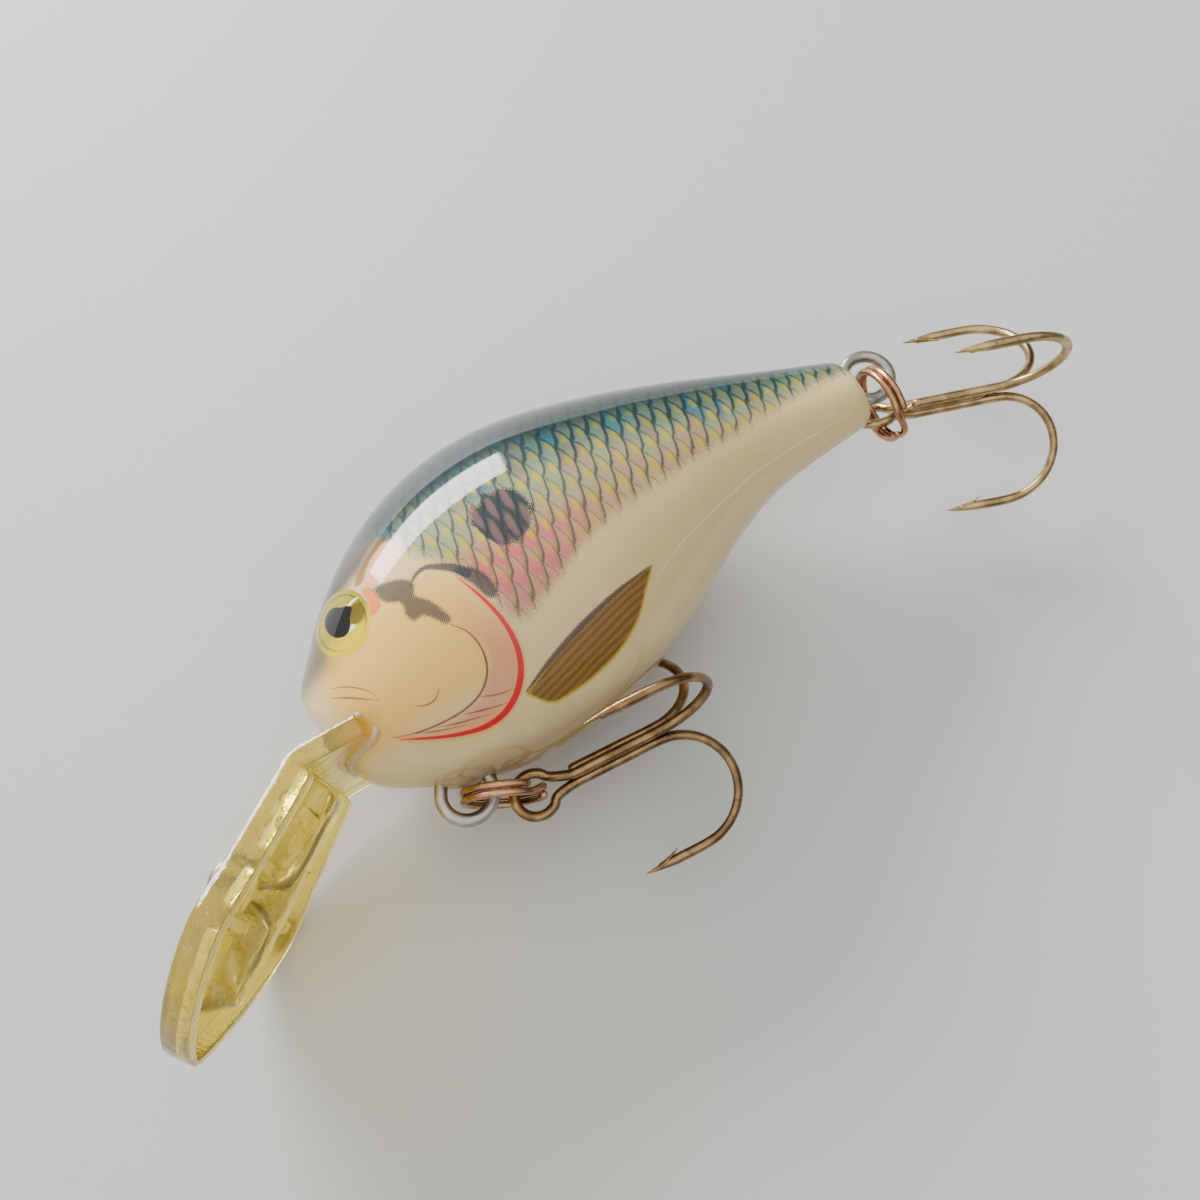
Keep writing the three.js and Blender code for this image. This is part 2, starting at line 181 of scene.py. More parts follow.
def add_mesh(name, points, faces, body, replaces=(), attributes=None):
    """A smooth mesh piece from points in the lure's millimetres, riding on a CAD body."""
    mesh = bpy.data.meshes.new(name)
    mesh.from_pydata(((np.asarray(points) + SNOUT) * MM).tolist(), [], faces)
    mesh.validate()
    for key, values in (attributes or {}).items():
        values = np.asarray(values, np.float32)
        kind = "FLOAT_VECTOR" if values.ndim == 2 else "FLOAT"
        layer = mesh.attributes.new(key, kind, "POINT")
        layer.data.foreach_set("vector" if values.ndim == 2 else "value", values.ravel())
    mesh.shade_smooth()
    piece = add_object(name, mesh)
    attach(piece, body)
    if replaces:
        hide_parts(*replaces)
    return piece


def grid_faces(rows, columns, wrap=False):
    faces = []
    for i in range(rows - 1):
        for j in range(columns if wrap else columns - 1):
            k = (j + 1) % columns
            faces.append((i * columns + j, i * columns + k, (i + 1) * columns + k, (i + 1) * columns + j))
    return faces


def joined(parts):
    """One list of points and faces from several."""
    points, faces, count = [], [], 0
    for part_points, part_faces in parts:
        points.append(np.asarray(part_points))
        faces += [tuple(i + count for i in face) for face in part_faces]
        count += len(part_points)
    return np.concatenate(points), faces


def tube(path, radius, sides=16, flat=1, flat_axis=None, closed=False):
    """A round or flattened wire along a path, with domed ends. radius may change along it.
    flat is the thickness along flat_axis as a share of the width."""
    path = np.asarray(path, float)
    count = len(path)
    radius = np.broadcast_to(np.asarray(radius, float), (count,))
    flat = np.broadcast_to(np.asarray(flat, float), (count,))
    tangent = np.gradient(path, axis=0)
    if closed:
        tangent = np.roll(path, -1, 0) - np.roll(path, 1, 0)
    tangent /= np.linalg.norm(tangent, axis=1)[:, None]
    across = np.array(flat_axis if flat_axis is not None else (0.31, 0.17, 0.93), float)
    rings = []
    angles = np.linspace(0, 2 * math.pi, sides, endpoint=False)
    for i in range(count):
        across = across - tangent[i] * (across @ tangent[i])
        across /= np.linalg.norm(across)
        side = np.cross(tangent[i], across)
        rings.append(np.outer(np.cos(angles) * flat[i], across) + np.outer(np.sin(angles), side))
    points = [place + ring * size for place, ring, size in zip(path, rings, radius)]
    if closed:
        faces = grid_faces(count + 1, sides, wrap=True)
        faces = [tuple(i % (count * sides) for i in face) for face in faces]
        return np.concatenate(points), faces
    domes = []
    for end, sign in ((0, -1), (count - 1, 1)):
        out = sign * tangent[end] * radius[end]
        dome = [path[end] + rings[end] * radius[end] * math.cos(a) + out * math.sin(a) for a in (0.55, 1.05)]
        domes.append((dome, path[end] + out))
    all_rings = domes[0][0][::-1] + points + domes[1][0]
    total = len(all_rings)
    faces = grid_faces(total, sides, wrap=True)
    first, last = total * sides, total * sides + 1
    for j in range(sides):
        k = (j + 1) % sides
        faces.append((first, k, j))
        faces.append((last, (total - 1) * sides + j, (total - 1) * sides + k))
    return np.concatenate(all_rings + [[domes[0][1]], [domes[1][1]]]), faces


# ---- The printed pattern, as depths of ink in millimetres round each mark ----

NO_INK = -0.5
COLUMN_ORIGIN = 21.0


def nearest(x, y, curve):
    """Distance from each point to a curve, how far along its nearest point lies, and on which side."""
    best = np.full(x.shape, 1e9)
    along = np.zeros(x.shape)
    side = np.ones(x.shape)
    steps = np.linalg.norm(np.diff(curve, axis=0), axis=1)
    length = np.concatenate([[0], np.cumsum(steps)])
    for i, (a, b) in enumerate(zip(curve[:-1], curve[1:])):
        d = b - a
        px, py = x - a[0], y - a[1]
        t = np.clip((px * d[0] + py * d[1]) / (d @ d), 0, 1)
        distance = np.hypot(px - t * d[0], py - t * d[1])
        closer = distance < best
        best = np.where(closer, distance, best)
        along = np.where(closer, length[i] + t * steps[i], along)
        side = np.where(closer, np.sign(d[0] * py - d[1] * px), side)
    return best, along / length[-1], side


def stroke(x, y, points, widths):
    """A line's signed distance and its half width there, which is below 0 past its ends."""
    distance, along, side = nearest(x, y, spline(points, 6))
    width = np.interp(along, np.linspace(0, 1, len(widths)), widths)
    width = np.where((along > 1e-6) & (along < 1 - 1e-6), width, NO_INK)
    return np.stack([distance * side, width, np.zeros_like(x)], 1)


def patch(x, y, points):
    """Ink depth of a closed outline: above 0 inside it."""
    curve = spline(list(points) + [points[0]], 6)
    distance, _, _ = nearest(x, y, curve)
    inside = np.zeros(x.shape, bool)
    for a, b in zip(curve[:-1], curve[1:]):
        if a[1] == b[1]:
            continue
        crosses = (a[1] > y) != (b[1] > y)
        inside ^= crosses & (x < a[0] + (y - a[1]) * (b[0] - a[0]) / (b[1] - a[1]))
    return np.where(inside, distance, -distance)


def oval(x, y, centre, semi, turn):
    """Ink depth of an oval: above 0 inside it."""
    c, s = math.cos(math.radians(turn)), math.sin(math.radians(turn))
    u = (x - centre[0]) * c + (y - centre[1]) * s
    v = -(x - centre[0]) * s + (y - centre[1]) * c
    return (1 - np.hypot(u / semi[0], v / semi[1])) * min(semi)


def read_off(at, points):
    """The value at each place, in straight steps through pairs of place and value."""
    places, values = np.array(points, float).T
    return np.interp(at, places, values)


GILL_EDGE = [
    (14, -0.5), (14.6, -2), (15.05, -3.4), (15.35, -5), (15.35, -6.4), (14.9, -7.9), (13.9, -9.1),
    (12.6, -9.8), (11.2, -9.98), (9.8, -9.75), (8.2, -9.2), (6.7, -8.5), (5.2, -7.7),
]
CHEEK_EDGE = [
    (12, -3.2), (12.8, -4.2), (13.1, -5.2), (13.05, -6.3), (12.6, -7.3), (11.7, -8.05), (10.4, -8.42),
    (8.8, -8.42), (7.1, -8.15), (5.9, -7.8), (4.8, -7.35),
]
FIN_TOP = [(14.2, -9.5), (17, -8.4), (20, -7.4), (23.6, -6.45), (26.8, -5.8)]

# Each printed line's points and its half width from end to end.
LINES = {
    "gill_red": (GILL_EDGE, [0.02, 0.09, 0.14, 0.18, 0.21, 0.23, 0.21, 0.18, 0.14, 0.11, 0.09, 0.02]),
    "cheek_line": (CHEEK_EDGE, [0.02, 0.07, 0.08, 0.07, 0.06, 0.05, 0.02]),
    "gill_crest": (
        [(10.9, 0.5), (11.6, 1.1), (12.4, 1.25), (13.2, 0.85), (14.2, 0.1), (15, -0.9)],
        [0.06, 0.14, 0.2, 0.28, 0.36, 0.4],
    ),
    "fin_edge": (FIN_TOP, [0.08, 0.2, 0.22, 0.18, 0.04]),
    "belly_pale_line": (
        [(26.3, -6.9), (30, -5.05), (34, -3.7), (38, -2.55), (43, -1.85), (48, -1.6)],
        [0.01, 0.07, 0.07, 0.06, 0.05, 0.01],
    ),
    "iris_spark": ([(6.15, 2.05), (6.9, 2.3), (7.6, 2.25)], [0.08, 0.13, 0.03]),
}
FINE_LINES = {
    "mouth_1": ([(2.3, -2.6), (3.4, -3.4), (4.5, -4.3), (5.4, -5)], [0.01, 0.06, 0.05, 0.01]),
    "mouth_2": ([(2.7, -2.1), (3.9, -2.9), (4.9, -3.9), (5.4, -4.8)], [0.01, 0.05, 0.04, 0.01]),
    "cheek_fold": ([(7.2, -6.5), (7.9, -6.9), (8.7, -6.95), (9.5, -6.35)], [0.01, 0.06, 0.06, 0.01]),
    "ray_1": ([(6.4, -8), (8, -8.7), (9.8, -9.3)], [0.01, 0.06, 0.03, 0.01]),
    "ray_2": ([(7.9, -8.45), (9.6, -9), (11.6, -9.5)], [0.01, 0.06, 0.04, 0.01]),
    "ray_3": ([(9.7, -8.6), (11.4, -9.1), (13.2, -9.5)], [0.01, 0.06, 0.04, 0.01]),
    "ray_4": ([(11.3, -8.2), (12.6, -8.7), (13.9, -8.9)], [0.01, 0.05, 0.04, 0.01]),
}

# Closed outlines, and ovals by centre, half lengths and turn.
PATCHES = {
    "gill_cover": GILL_EDGE + [
        (7, -8.2), (10.4, -8.5), (12.9, -6.9), (13.1, -5.2), (11.9, -2.6), (11.2, 0.2),
    ],
    "fin": FIN_TOP + [(25.6, -7.1), (24.2, -8.5), (22.2, -9.7), (19.6, -10.5), (17, -10.85), (15.6, -10.75)],
    "brow_blot": [
        (8.6, 2.1), (9.5, 1.9), (10.8, 1.3), (11.25, 0.6), (10.9, -0.2), (11.5, -0.9), (12, -1.9),
        (12.3, -3), (11.9, -3.1), (11.2, -2.2), (10.7, -1.7), (10.1, -1.8), (9.75, -1.1), (9.9, -0.2),
        (8.9, 0.7),
    ],
    "gill_blot": [
        (13.9, 0.15), (15.2, -0.4), (15.95, -1.7), (15.8, -3.1), (15.2, -2.9), (14.8, -1.7), (14.2, -0.5),
    ],
    "pupil_corner": [(5.3, 2.9), (6, 2.6), (6.75, 1.95), (6.1, 1.2), (5.4, 0.7)],
    "iris_shade": [(6.2, 1.9), (6.9, 2.1), (7.4, 1.9), (7.5, 1), (7, 0.45), (6.2, 0.6)],
    "iris_glint": [(4.9, 0.3), (5.2, 0.75), (5.9, 0.85), (6.5, 0.45), (5.9, 0.35), (5.3, 0.45)],
    "cheek_orange": [(7.8, 2.7), (8.5, 2.3), (8.7, 1.4), (8.5, 0.5), (7.7, 0.3), (7.9, 1.4)],
    "brow_peach": [(8.3, 2.6), (9.3, 2.3), (11.6, 3.8), (11, 4.9), (10.4, 4.8), (8.7, 3.5)],
    "brow_band": [
        (7.6, 3.1), (8.2, 3.1), (9.3, 4.4), (10.9, 5.3), (10.7, 5.75), (9.1, 5), (8, 4),
    ],
}
OVALS = {
    "spot": ((19.1, 2), (2.25, 2.35), 0),
    "eye": ((5.55, 1.5), (2.25, 2.7), 6),
    "pupil_round": ((5.3, 1.75), (0.95, 1.45), 10),
}

# Along the body: where the scales end below, one row's height over the unrolled flank, the pitches
# of rows and columns, and where the teal and the dark back begin.
SCALE_FLOOR = [
    (14, -4.6), (17, -5.6), (20, -4.4), (23, -2.9), (27, -1.6), (33, -0.5), (37, 0.1), (44, 1), (50, 1.3),
]
ROW_LINE = [(8, 0.3), (16, 1), (21, 1.35), (25, 1.65), (29, 2), (34, 2.3), (40, 2.45), (50, 2.2)]
ROW_PITCH = [(10, 1.85), (30, 1.8), (42, 1.55), (50, 1.4)]
COLUMN_PITCH = [(8, 1.2), (17, 1.25), (21, 1.28), (24, 1.36), (28, 1.4), (38, 1.4), (48, 1.25)]
TEAL_START = [(8, 4.6), (20, 5), (30, 4), (40, 2.6), (50, 1.9)]
DARK_START = [(8, 5.8), (20, 7.2), (30, 6.2), (40, 4.3), (50, 2.8)]

# Where the head's print ends, as x by height.
HEAD_EDGE = [
    (-14, 15.4), (-6.4, 15.4), (-4, 15.3), (-0.6, 14.2), (0.9, 13.2), (2.6, 11.9), (4.6, 10.9),
    (7, 10), (9.5, 9.6), (12, 9.3),
]


def print_marks(x, y, unrolled):
    """Each printed mark over the flank, by name: mostly its depth of ink at each point."""
    stations = np.linspace(0, BODY_LENGTH, 500)
    count = np.cumsum(1 / read_off(stations, COLUMN_PITCH)) * (stations[1] - stations[0])
    column = np.interp(x, stations, count - np.interp(COLUMN_ORIGIN, stations, count))
    row = (unrolled - read_off(x, ROW_LINE)) / read_off(x, ROW_PITCH)
    behind_head = x - read_off(y, HEAD_EDGE)
    marks = {
        "place": np.stack([x, y, unrolled], 1),
        "lattice": np.stack([column, row, np.zeros_like(x)], 1),
        "behind_head": behind_head,
        "scale_area": np.minimum(y - read_off(x, SCALE_FLOOR), behind_head * 0.8),
        "teal": unrolled - read_off(x, TEAL_START),
        "dark_back": unrolled - read_off(x, DARK_START),
    }
    marks |= {name: stroke(x, y, *line) for name, line in (LINES | FINE_LINES).items()}
    marks |= {name: patch(x, y, outline) for name, outline in PATCHES.items()}
    marks |= {name: oval(x, y, *shape) for name, shape in OVALS.items()}
    marks["blots"] = np.maximum(marks.pop("brow_blot"), marks.pop("gill_blot"))
    marks["pupil"] = np.maximum(marks.pop("pupil_round"), marks.pop("pupil_corner"))
    return marks


# ---- Body shells ----

BODY_STATIONS = 210
BODY_RING = 140
TAIL_ROUND = 1.1
HALF_GAP = 0.012
SEAM_DEPTH = 0.05
SEAM_WIDTH = 0.09
PAD_HEIGHT = 0.45
PAD_LENGTH = 1.5
PAD_WIDTH = 1.1


def body_shell(side):
    """One half of the body as a smooth skin, with the printed marks' depths on its points."""
    hand = 1 if side == "left" else -1
    t = np.linspace(0, 1, BODY_STATIONS)
    x = BODY_LENGTH * (t + 0.32 * np.sin(math.pi * t) * (t - 1) ** 3)
    end = np.clip((BODY_LENGTH - x) / TAIL_ROUND, 0, 1)
    share = 0.62 + 0.38 * (1 - (1 - end) ** 2.4) ** (1 / 2.4)
    share = np.concatenate([share, [0.4, 0.15, 0]])
    x = np.concatenate([x, [BODY_LENGTH] * 3])
    angle = np.linspace(math.pi / 2, -math.pi / 2, BODY_RING)
    top, bottom = back_line(x), belly_line(x)
    middle, half, wide = (top + bottom) / 2, (top - bottom) / 2 * share, side_line(x) * share
    y = middle[:, None] + half[:, None] * np.sin(angle)
    z = wide[:, None] * np.cos(angle)
    seam = SEAM_DEPTH * np.exp(-(z / SEAM_WIDTH) ** 2) * smoothstep(0.5, 3, x)[:, None]
    y -= seam * np.sign(np.sin(angle))
    from_hanger = (x[:, None] - HANGERS["belly"]["centre"][0]) / PAD_LENGTH
    y -= PAD_HEIGHT * np.exp(-(from_hanger**2 + (z / PAD_WIDTH) ** 2) ** 2) * (angle < 0)
    steps = np.hypot(np.diff(y, axis=1), np.diff(z, axis=1))
    length = np.concatenate([np.zeros((len(x), 1)), np.cumsum(steps, axis=1)], axis=1)
    centre = length[:, BODY_RING // 2][:, None]
    unrolled = middle[:, None] + centre - length
    points = np.stack([np.broadcast_to(x[:, None], y.shape), y, hand * (z + HALF_GAP)], -1).reshape(-1, 3)
    faces = grid_faces(len(x), BODY_RING)
    if hand > 0:
        faces = [face[::-1] for face in faces]
    marks = print_marks(points[:, 0], points[:, 1], unrolled.ravel())
    return add_mesh(f"shell_{side}", points, faces, "lure_body", [f"body_{side}"], marks)


shells = [body_shell("left"), body_shell("right")]


# ---- Diving lip ----

LIP_REACH = 21.2
LIP_OUTLINE = profile([
    (-TONGUE_DEPTH, 7.2), (0, 7.2), (3.7, 7.8), (7.4, 8.45), (10, 9.2), (11.6, 9.48), (13, 9.2),
    (15.2, 8.1), (17.4, 6.4), (19.2, 4.4), (20.5, 2.35), (21.1, 0.8), (LIP_REACH, 0),
])
LIP_RING = 80
LIP_TIP_START = 14
LIP_EDGE_ROUND = 0.28
LIP_RIB_HEIGHT = 0.85
SPINE_GROOVE_DEPTH = 0.28
LIP_POCKET_DEPTH = 0.35


def lip_course():
    """The lip's front face seen from the side, from the tongue's end to the tip, with its directions."""
    s = np.linspace(-TONGUE_DEPTH, LIP_REACH, 1200)
    angle = math.pi + math.radians(LIP_ANGLE) * smoothstep(-0.9, 0.9, s)
    step = s[1] - s[0]
    x = np.cumsum(np.cos(angle)) * step
    y = np.cumsum(np.sin(angle)) * step
    corner = np.searchsorted(s, LIP_REACH * 0.6)
    reach = s[corner]
    turn = math.radians(LIP_ANGLE)
    x += LIP_CORNER[0] - math.cos(turn) * reach - x[corner]
    y += LIP_CORNER[1] - math.sin(turn) * reach - y[corner]
    return s, x, y, angle


LIP_COURSE = lip_course()


def lip_place(s, v, w):
    """A point of the lip: s along its front face, v across it, w out of the front face."""
    stations, x, y, angle = LIP_COURSE
    a = np.interp(s, stations, angle)
    px, py = np.interp(s, stations, x), np.interp(s, stations, y)
    return np.stack([px + w * np.sin(a), py - w * np.cos(a), v + 0 * px], -1)


def lip_depth(s, v):
    """Thickness of the lip behind its front face: rim, web, centre spine, cross ribs and recesses."""
    edge = LIP_OUTLINE(s) - np.abs(v)
    rim = smoothstep(2.1, 1.6, edge)
    depth = LIP_WEB + (LIP_THICKNESS - LIP_WEB) * rim
    for rib in LIP_RIBS:
        bow = 0.35 * np.cos(np.abs(v) / 9.5 * math.pi)
        ridge = smoothstep(0.75, 0.4, np.abs(s - rib - bow))
        depth = np.maximum(depth, LIP_WEB + LIP_RIB_HEIGHT * ridge)
    ends = smoothstep(0.4, 1.4, s) * smoothstep(18.2, 16.4, s)
    spine = smoothstep(2.05, 1.6, np.abs(v)) * ends
    groove = SPINE_GROOVE_DEPTH * smoothstep(0.75, 0.35, np.abs(np.abs(v) - 0.95)) * smoothstep(2.2, 3.4, s)
    depth = np.maximum(depth, LIP_WEB + (LIP_SPINE - LIP_WEB - groove) * spine)
    pocket = smoothstep(1, 0.75, np.hypot((np.abs(s - 4.4) - 1.3).clip(0), np.abs(v) - 4.6) / 0.8)
    depth = depth - LIP_POCKET_DEPTH * pocket
    root = smoothstep(1.2, -0.2, s)
    return depth * (1 - root) + TONGUE_THICKNESS * root


def diving_lip():
    stations = np.concatenate([
        np.linspace(-TONGUE_DEPTH, LIP_TIP_START, 130, endpoint=False),
        LIP_TIP_START + (LIP_REACH - LIP_TIP_START) * np.sin(np.linspace(0, math.pi / 2, 80)),
    ])[:-1]
    across = np.cos(np.linspace(0, math.pi, LIP_RING))
    rings = []
    for s in stations:
        half = LIP_OUTLINE(s)
        soft = min(LIP_EDGE_ROUND, half * 0.4)
        v = across * (half - soft * 0.35)
        front_round = soft * (1 - np.sqrt(1 - np.clip((np.abs(v) - half + soft) / soft, 0, 1) ** 2))
        depth = lip_depth(s, v)
        front = lip_place(np.full(LIP_RING, s), v, -front_round)
        rear = lip_place(np.full(LIP_RING, s), v[::-1], -(depth[::-1] - front_round[::-1]))
        wall = [
            lip_place(np.array([s]), np.array([hand * half]), np.array([-lip_depth(s, half) * share]))
            for hand, share in ((-1, 0.3), (-1, 0.7), (1, 0.7), (1, 0.3))
        ]
        rings.append(np.concatenate([front, wall[0], wall[1], rear, wall[2], wall[3]]))
    count = len(rings[0])
    points = np.concatenate(rings)
    faces = grid_faces(len(rings), count, wrap=True)
    caps = [
        lip_place(stations[0], 0, -TONGUE_THICKNESS / 2),
        lip_place(np.array(LIP_REACH), 0, -LIP_THICKNESS / 2),
    ]
    points = np.concatenate([points, [caps[0]], [caps[1]]])
    first, last, start = len(points) - 2, len(points) - 1, (len(rings) - 1) * count
    for j in range(count):
        k = (j + 1) % count
        faces.append((first, k, j))
        faces.append((last, start + j, start + k))
    return add_mesh("clear_lip", points, faces, "lure_body", ["diving_lip"])


lip = diving_lip()


GLUE_RADIUS = 0.3
GLUE_LIFT = 0.12


def lip_glue():
    """A bead of clear glue round the tongue where it leaves the chin."""
    slot_end = LIP_CORNER[0] + TONGUE_DEPTH + 0.2
    upper, lower = LIP_CORNER[1] + GLUE_LIFT, LIP_CORNER[1] - TONGUE_THICKNESS - GLUE_LIFT
    middle, half_height = (upper + lower) / 2, (upper - lower) / 2
    outline = []
    for height, order in ((upper, 1), (lower, -1)):
        x_line = np.linspace(0.05, slot_end, 400)
        start = x_line[np.argmax(flank(x_line, height) > 0.05)]
        x = start + (slot_end - start) * np.linspace(0, 1, 26) ** 1.7
        half = [(a, height, b) for a, b in zip(x, flank(x, height))]
        whole = half[::-1] + [(a, b, -c) for a, b, c in half[1:]]
        outline += whole[::order]
        z = -order * flank(slot_end, middle)
        outline += [
            (slot_end + 0.75 * math.sin(a), middle + order * half_height * math.cos(a), z)
            for a in np.linspace(0.35, math.pi - 0.35, 7)
        ]
    path = np.array(outline)
    wobble = 1 + 0.18 * np.sin(np.arange(len(path)) * 0.9) * np.sin(np.arange(len(path)) * 0.37)
    points, faces = tube(path, GLUE_RADIUS * wobble, sides=12, closed=True)
    return add_mesh("lip_glue_bead", points, faces, "lure_body", ["lip_adhesive"])


glue = lip_glue()


# ---- Line tie and hangers ----


def line_tie():
    """The wire eye out of the lip's front face and its two legs in the spine, u along the lip."""
    u, w = LINE_TIE_PLACE
    radius = LINE_TIE_LOOP / 2
    depth = -LINE_TIE_DEPTH
    rear = [(u - 8, depth), (u - 3.2, depth), (u - 2, depth + 0.3), (u - 1.2, depth / 2)]
    fore = [(u + 1.2, depth / 2), (u + 2, depth + 0.3), (u + 3.2, depth), (u + 4.6, depth)]
    course = spline(rear + arc((u, w), radius, 235, -55, 12) + fore, 8)
    path = lip_place(course[:, 0], np.zeros(len(course)), course[:, 1])
    points, faces = tube(path, LINE_TIE_WIRE / 2, 18)
    return add_mesh("line_tie_wire", points, faces, "lure_body", ["line_tie"])


def hanger(end):
    radius = HANGER_LOOP / 2
    side = [
        (-HANGER_LEG, 3), (-HANGER_LEG, 2.2), (-HANGER_LEG + 0.5, 1.2), (-HANGER_LEG + 1.5, HANGER_NECK),
        (-radius - 1.4, HANGER_NECK), (-radius - 0.2, 1.1), *arc((0, 0), radius, 125, 0, 6),
    ]
    outline = np.array(side + [(x, -y) for x, y in side[-2::-1]])
    cx, cy = HANGERS[end]["centre"]
    turn = math.radians(HANGERS[end]["turn"])
    x = cx + outline[:, 0] * math.cos(turn) - outline[:, 1] * math.sin(turn)
    y = cy + outline[:, 0] * math.sin(turn) + outline[:, 1] * math.cos(turn)
    path = spline(np.stack([x, y, np.zeros(len(x))], 1), 9)
    points, faces = tube(path, HANGER_WIRE / 2, 20)
    return add_mesh(f"{end}_hanger_wire", points, faces, "lure_body", [f"{end}_hanger"])


wires = [line_tie(), hanger("belly"), hanger("tail")]


# ---- Split rings ----

RING_PITCH = RING_WIRE + 0.06
RING_CROSSING = 50


def ring_axes(end):
    turn = math.radians(RIGS[end]["ring_turn"])
    out = np.array([math.cos(turn), math.sin(turn), 0])
    down = np.array([0, 0, -1.0])
    return out, down, np.cross(out, down)


def split_ring(end):
    out, down, axis = ring_axes(end)
    centre = np.array(RIGS[end]["link"], float) + out * RING_DIAMETER / 2
    turns = np.radians(np.linspace(0, 720 - RING_CROSSING, 150))
    rise = smoothstep(math.radians(360 - RING_CROSSING), 2 * math.pi, turns) - 0.5
    path = centre + np.outer(np.cos(turns), out) * RING_DIAMETER / 2
    path = path + np.outer(np.sin(turns), down) * RING_DIAMETER / 2 + np.outer(rise, axis) * RING_PITCH
    points, faces = tube(path, RING_WIRE / 2, 16, flat=1.04, flat_axis=axis)
    replaced = [f"{end}_split_ring"]
    return add_mesh(f"{end}_ring_coil", points, faces, f"{end}_ring", replaced)


rings = [split_ring(end) for end in RIGS]


# ---- Treble hooks ----

HOOK_OFFSETS = {"double": 0.5, "third": 0.82}
SHANK_STARTS = {"double": 3.2, "third": 3.4}
DOUBLE_DIRECTIONS = (210, 330)
THIRD_DIRECTION = 90
POINT_TAPER = 2.6
BARB_START = 1.35
BARB_LENGTH = 1.75
BARB_RADIUS = 0.27
BRAZE_START, BRAZE_END = 2.7, 9.5
BRAZE_RADIUS = 0.5


def treble_place(end):
    """The matrix from a treble's own axes, x along the shank from the eye, to the lure's."""
    rig = RIGS[end]
    turns = [("Z", rig["yaw"]), ("Y", -rig["pitch"]), ("X", rig["roll"])]
    matrix = Matrix.Identity(3)
    for axis, angle in turns:
        matrix = matrix @ Matrix.Rotation(math.radians(angle), 3, axis)
    rotation = np.array(matrix)
    eye = joint_place(f"{end}_treble_swing") - SNOUT + rotation[:, 0] * rig["lead"]
    return rotation, eye


def hook_course(kind, direction):
    """One hook from its point round the bend and along the shank, with its wire's radius."""
    offset = HOOK_OFFSETS[kind]
    reach = offset + 2 * HOOK_BEND_RADIUS
    tip_x = HOOK_SHANK - HOOK_POINT_LENGTH
    point = [(tip_x, reach - 0.05), (tip_x + 1.2, reach), (tip_x + POINT_TAPER, reach)]
    bend = arc((HOOK_SHANK, offset + HOOK_BEND_RADIUS), HOOK_BEND_RADIUS, 90, -90, 12)
    shank = [(HOOK_SHANK * share, offset) for share in (0.75, 0.5)] + [(SHANK_STARTS[kind], offset)]
    course = spline(point + bend + shank, 8)
    across = np.array([math.cos(math.radians(direction)), math.sin(math.radians(direction))])
    path = np.stack([course[:, 0], course[:, 1] * across[0], course[:, 1] * across[1]], 1)
    length = np.concatenate([[0], np.cumsum(np.linalg.norm(np.diff(path, axis=0), axis=1))])
    radius = HOOK_WIRE / 2 * np.clip(length / POINT_TAPER, 0.02, 1) ** 0.8
    bent = smoothstep(HOOK_SHANK - 0.5, HOOK_SHANK + 2, course[:, 0])
    return path, radius, 1 - 0.14 * bent, np.array([0, *across])


def barb(kind, direction):
    reach = HOOK_OFFSETS[kind] + 2 * HOOK_BEND_RADIUS
    across = np.array([0, math.cos(math.radians(direction)), math.sin(math.radians(direction))])
    start = HOOK_SHANK - HOOK_POINT_LENGTH + BARB_START
    along = np.linspace(0, 1, 12)
    lift = -0.12 - 0.62 * along**1.3
    path = np.outer(start + BARB_LENGTH * along, (1, 0, 0)) + np.outer(reach + lift, across)
    return tube(path, BARB_RADIUS * (1 - along) ** 0.8 + 0.025, 10, flat=0.62, flat_axis=across)


def double_hook():
    """Two hooks bent from one wire, which turns round the eye between their shanks."""
    (first, *shape_1, _), (second, *shape_2, _) = [hook_course("double", d) for d in DOUBLE_DIRECTIONS]
    c, s = math.cos(math.radians(HOOK_EYE_TURN)), math.sin(math.radians(HOOK_EYE_TURN))
    loop = [(a, b * c, b * s) for a, b in arc((0, 0), HOOK_EYE / 2, -32, -328, 14)]
    joint = spline([first[-3], first[-1], *loop, second[-1], second[-3]], 7)[7:-7]
    path = np.concatenate([first[:-1], joint, second[::-1][1:]])
    eye_shape = np.full(len(joint), HOOK_WIRE / 2), np.ones(len(joint))
    radius, flat = (
        np.concatenate([a[:-1], eye, b[::-1][1:]]) for a, eye, b in zip(shape_1, eye_shape, shape_2)
    )
    bent = tube(path, radius, 16, flat=flat, flat_axis=(0.02, -1, 0.1))
    return joined([bent] + [barb("double", direction) for direction in DOUBLE_DIRECTIONS])


def third_hook():
    path, radius, flat, side = hook_course("third", THIRD_DIRECTION)
    bent = tube(path, radius, 16, flat=flat, flat_axis=np.cross(side, (1, 0, 0)))
    return joined([bent, barb("third", THIRD_DIRECTION)])


def braze():
    """The run of brazing metal between the shanks."""
    run = np.linspace(BRAZE_START + 0.2, BRAZE_END - 0.3, 24)
    seam = np.stack([run, 0 * run, 0.12 + 0 * run], 1)
    swell = np.clip(np.minimum(run - BRAZE_START, BRAZE_END - run), 0.15, 1) ** 0.5
    return tube(seam, BRAZE_RADIUS * swell, 14)


def treble(end):
    rotation, eye = treble_place(end)
    parts = [
        ("double_bend", double_hook(), [f"{end}_treble_double_hook"]),
        ("third_bend", third_hook(), [f"{end}_treble_third_hook"]),
        ("braze", braze(), []),
    ]
    return [
        add_mesh(
            f"{end}_treble_{key}", points @ rotation.T + eye, faces,
            f"{end}_treble", replaced,
        )
        for key, (points, faces), replaced in parts
    ]


hooks = {end: treble(end) for end in RIGS}


# ---- Materials ----


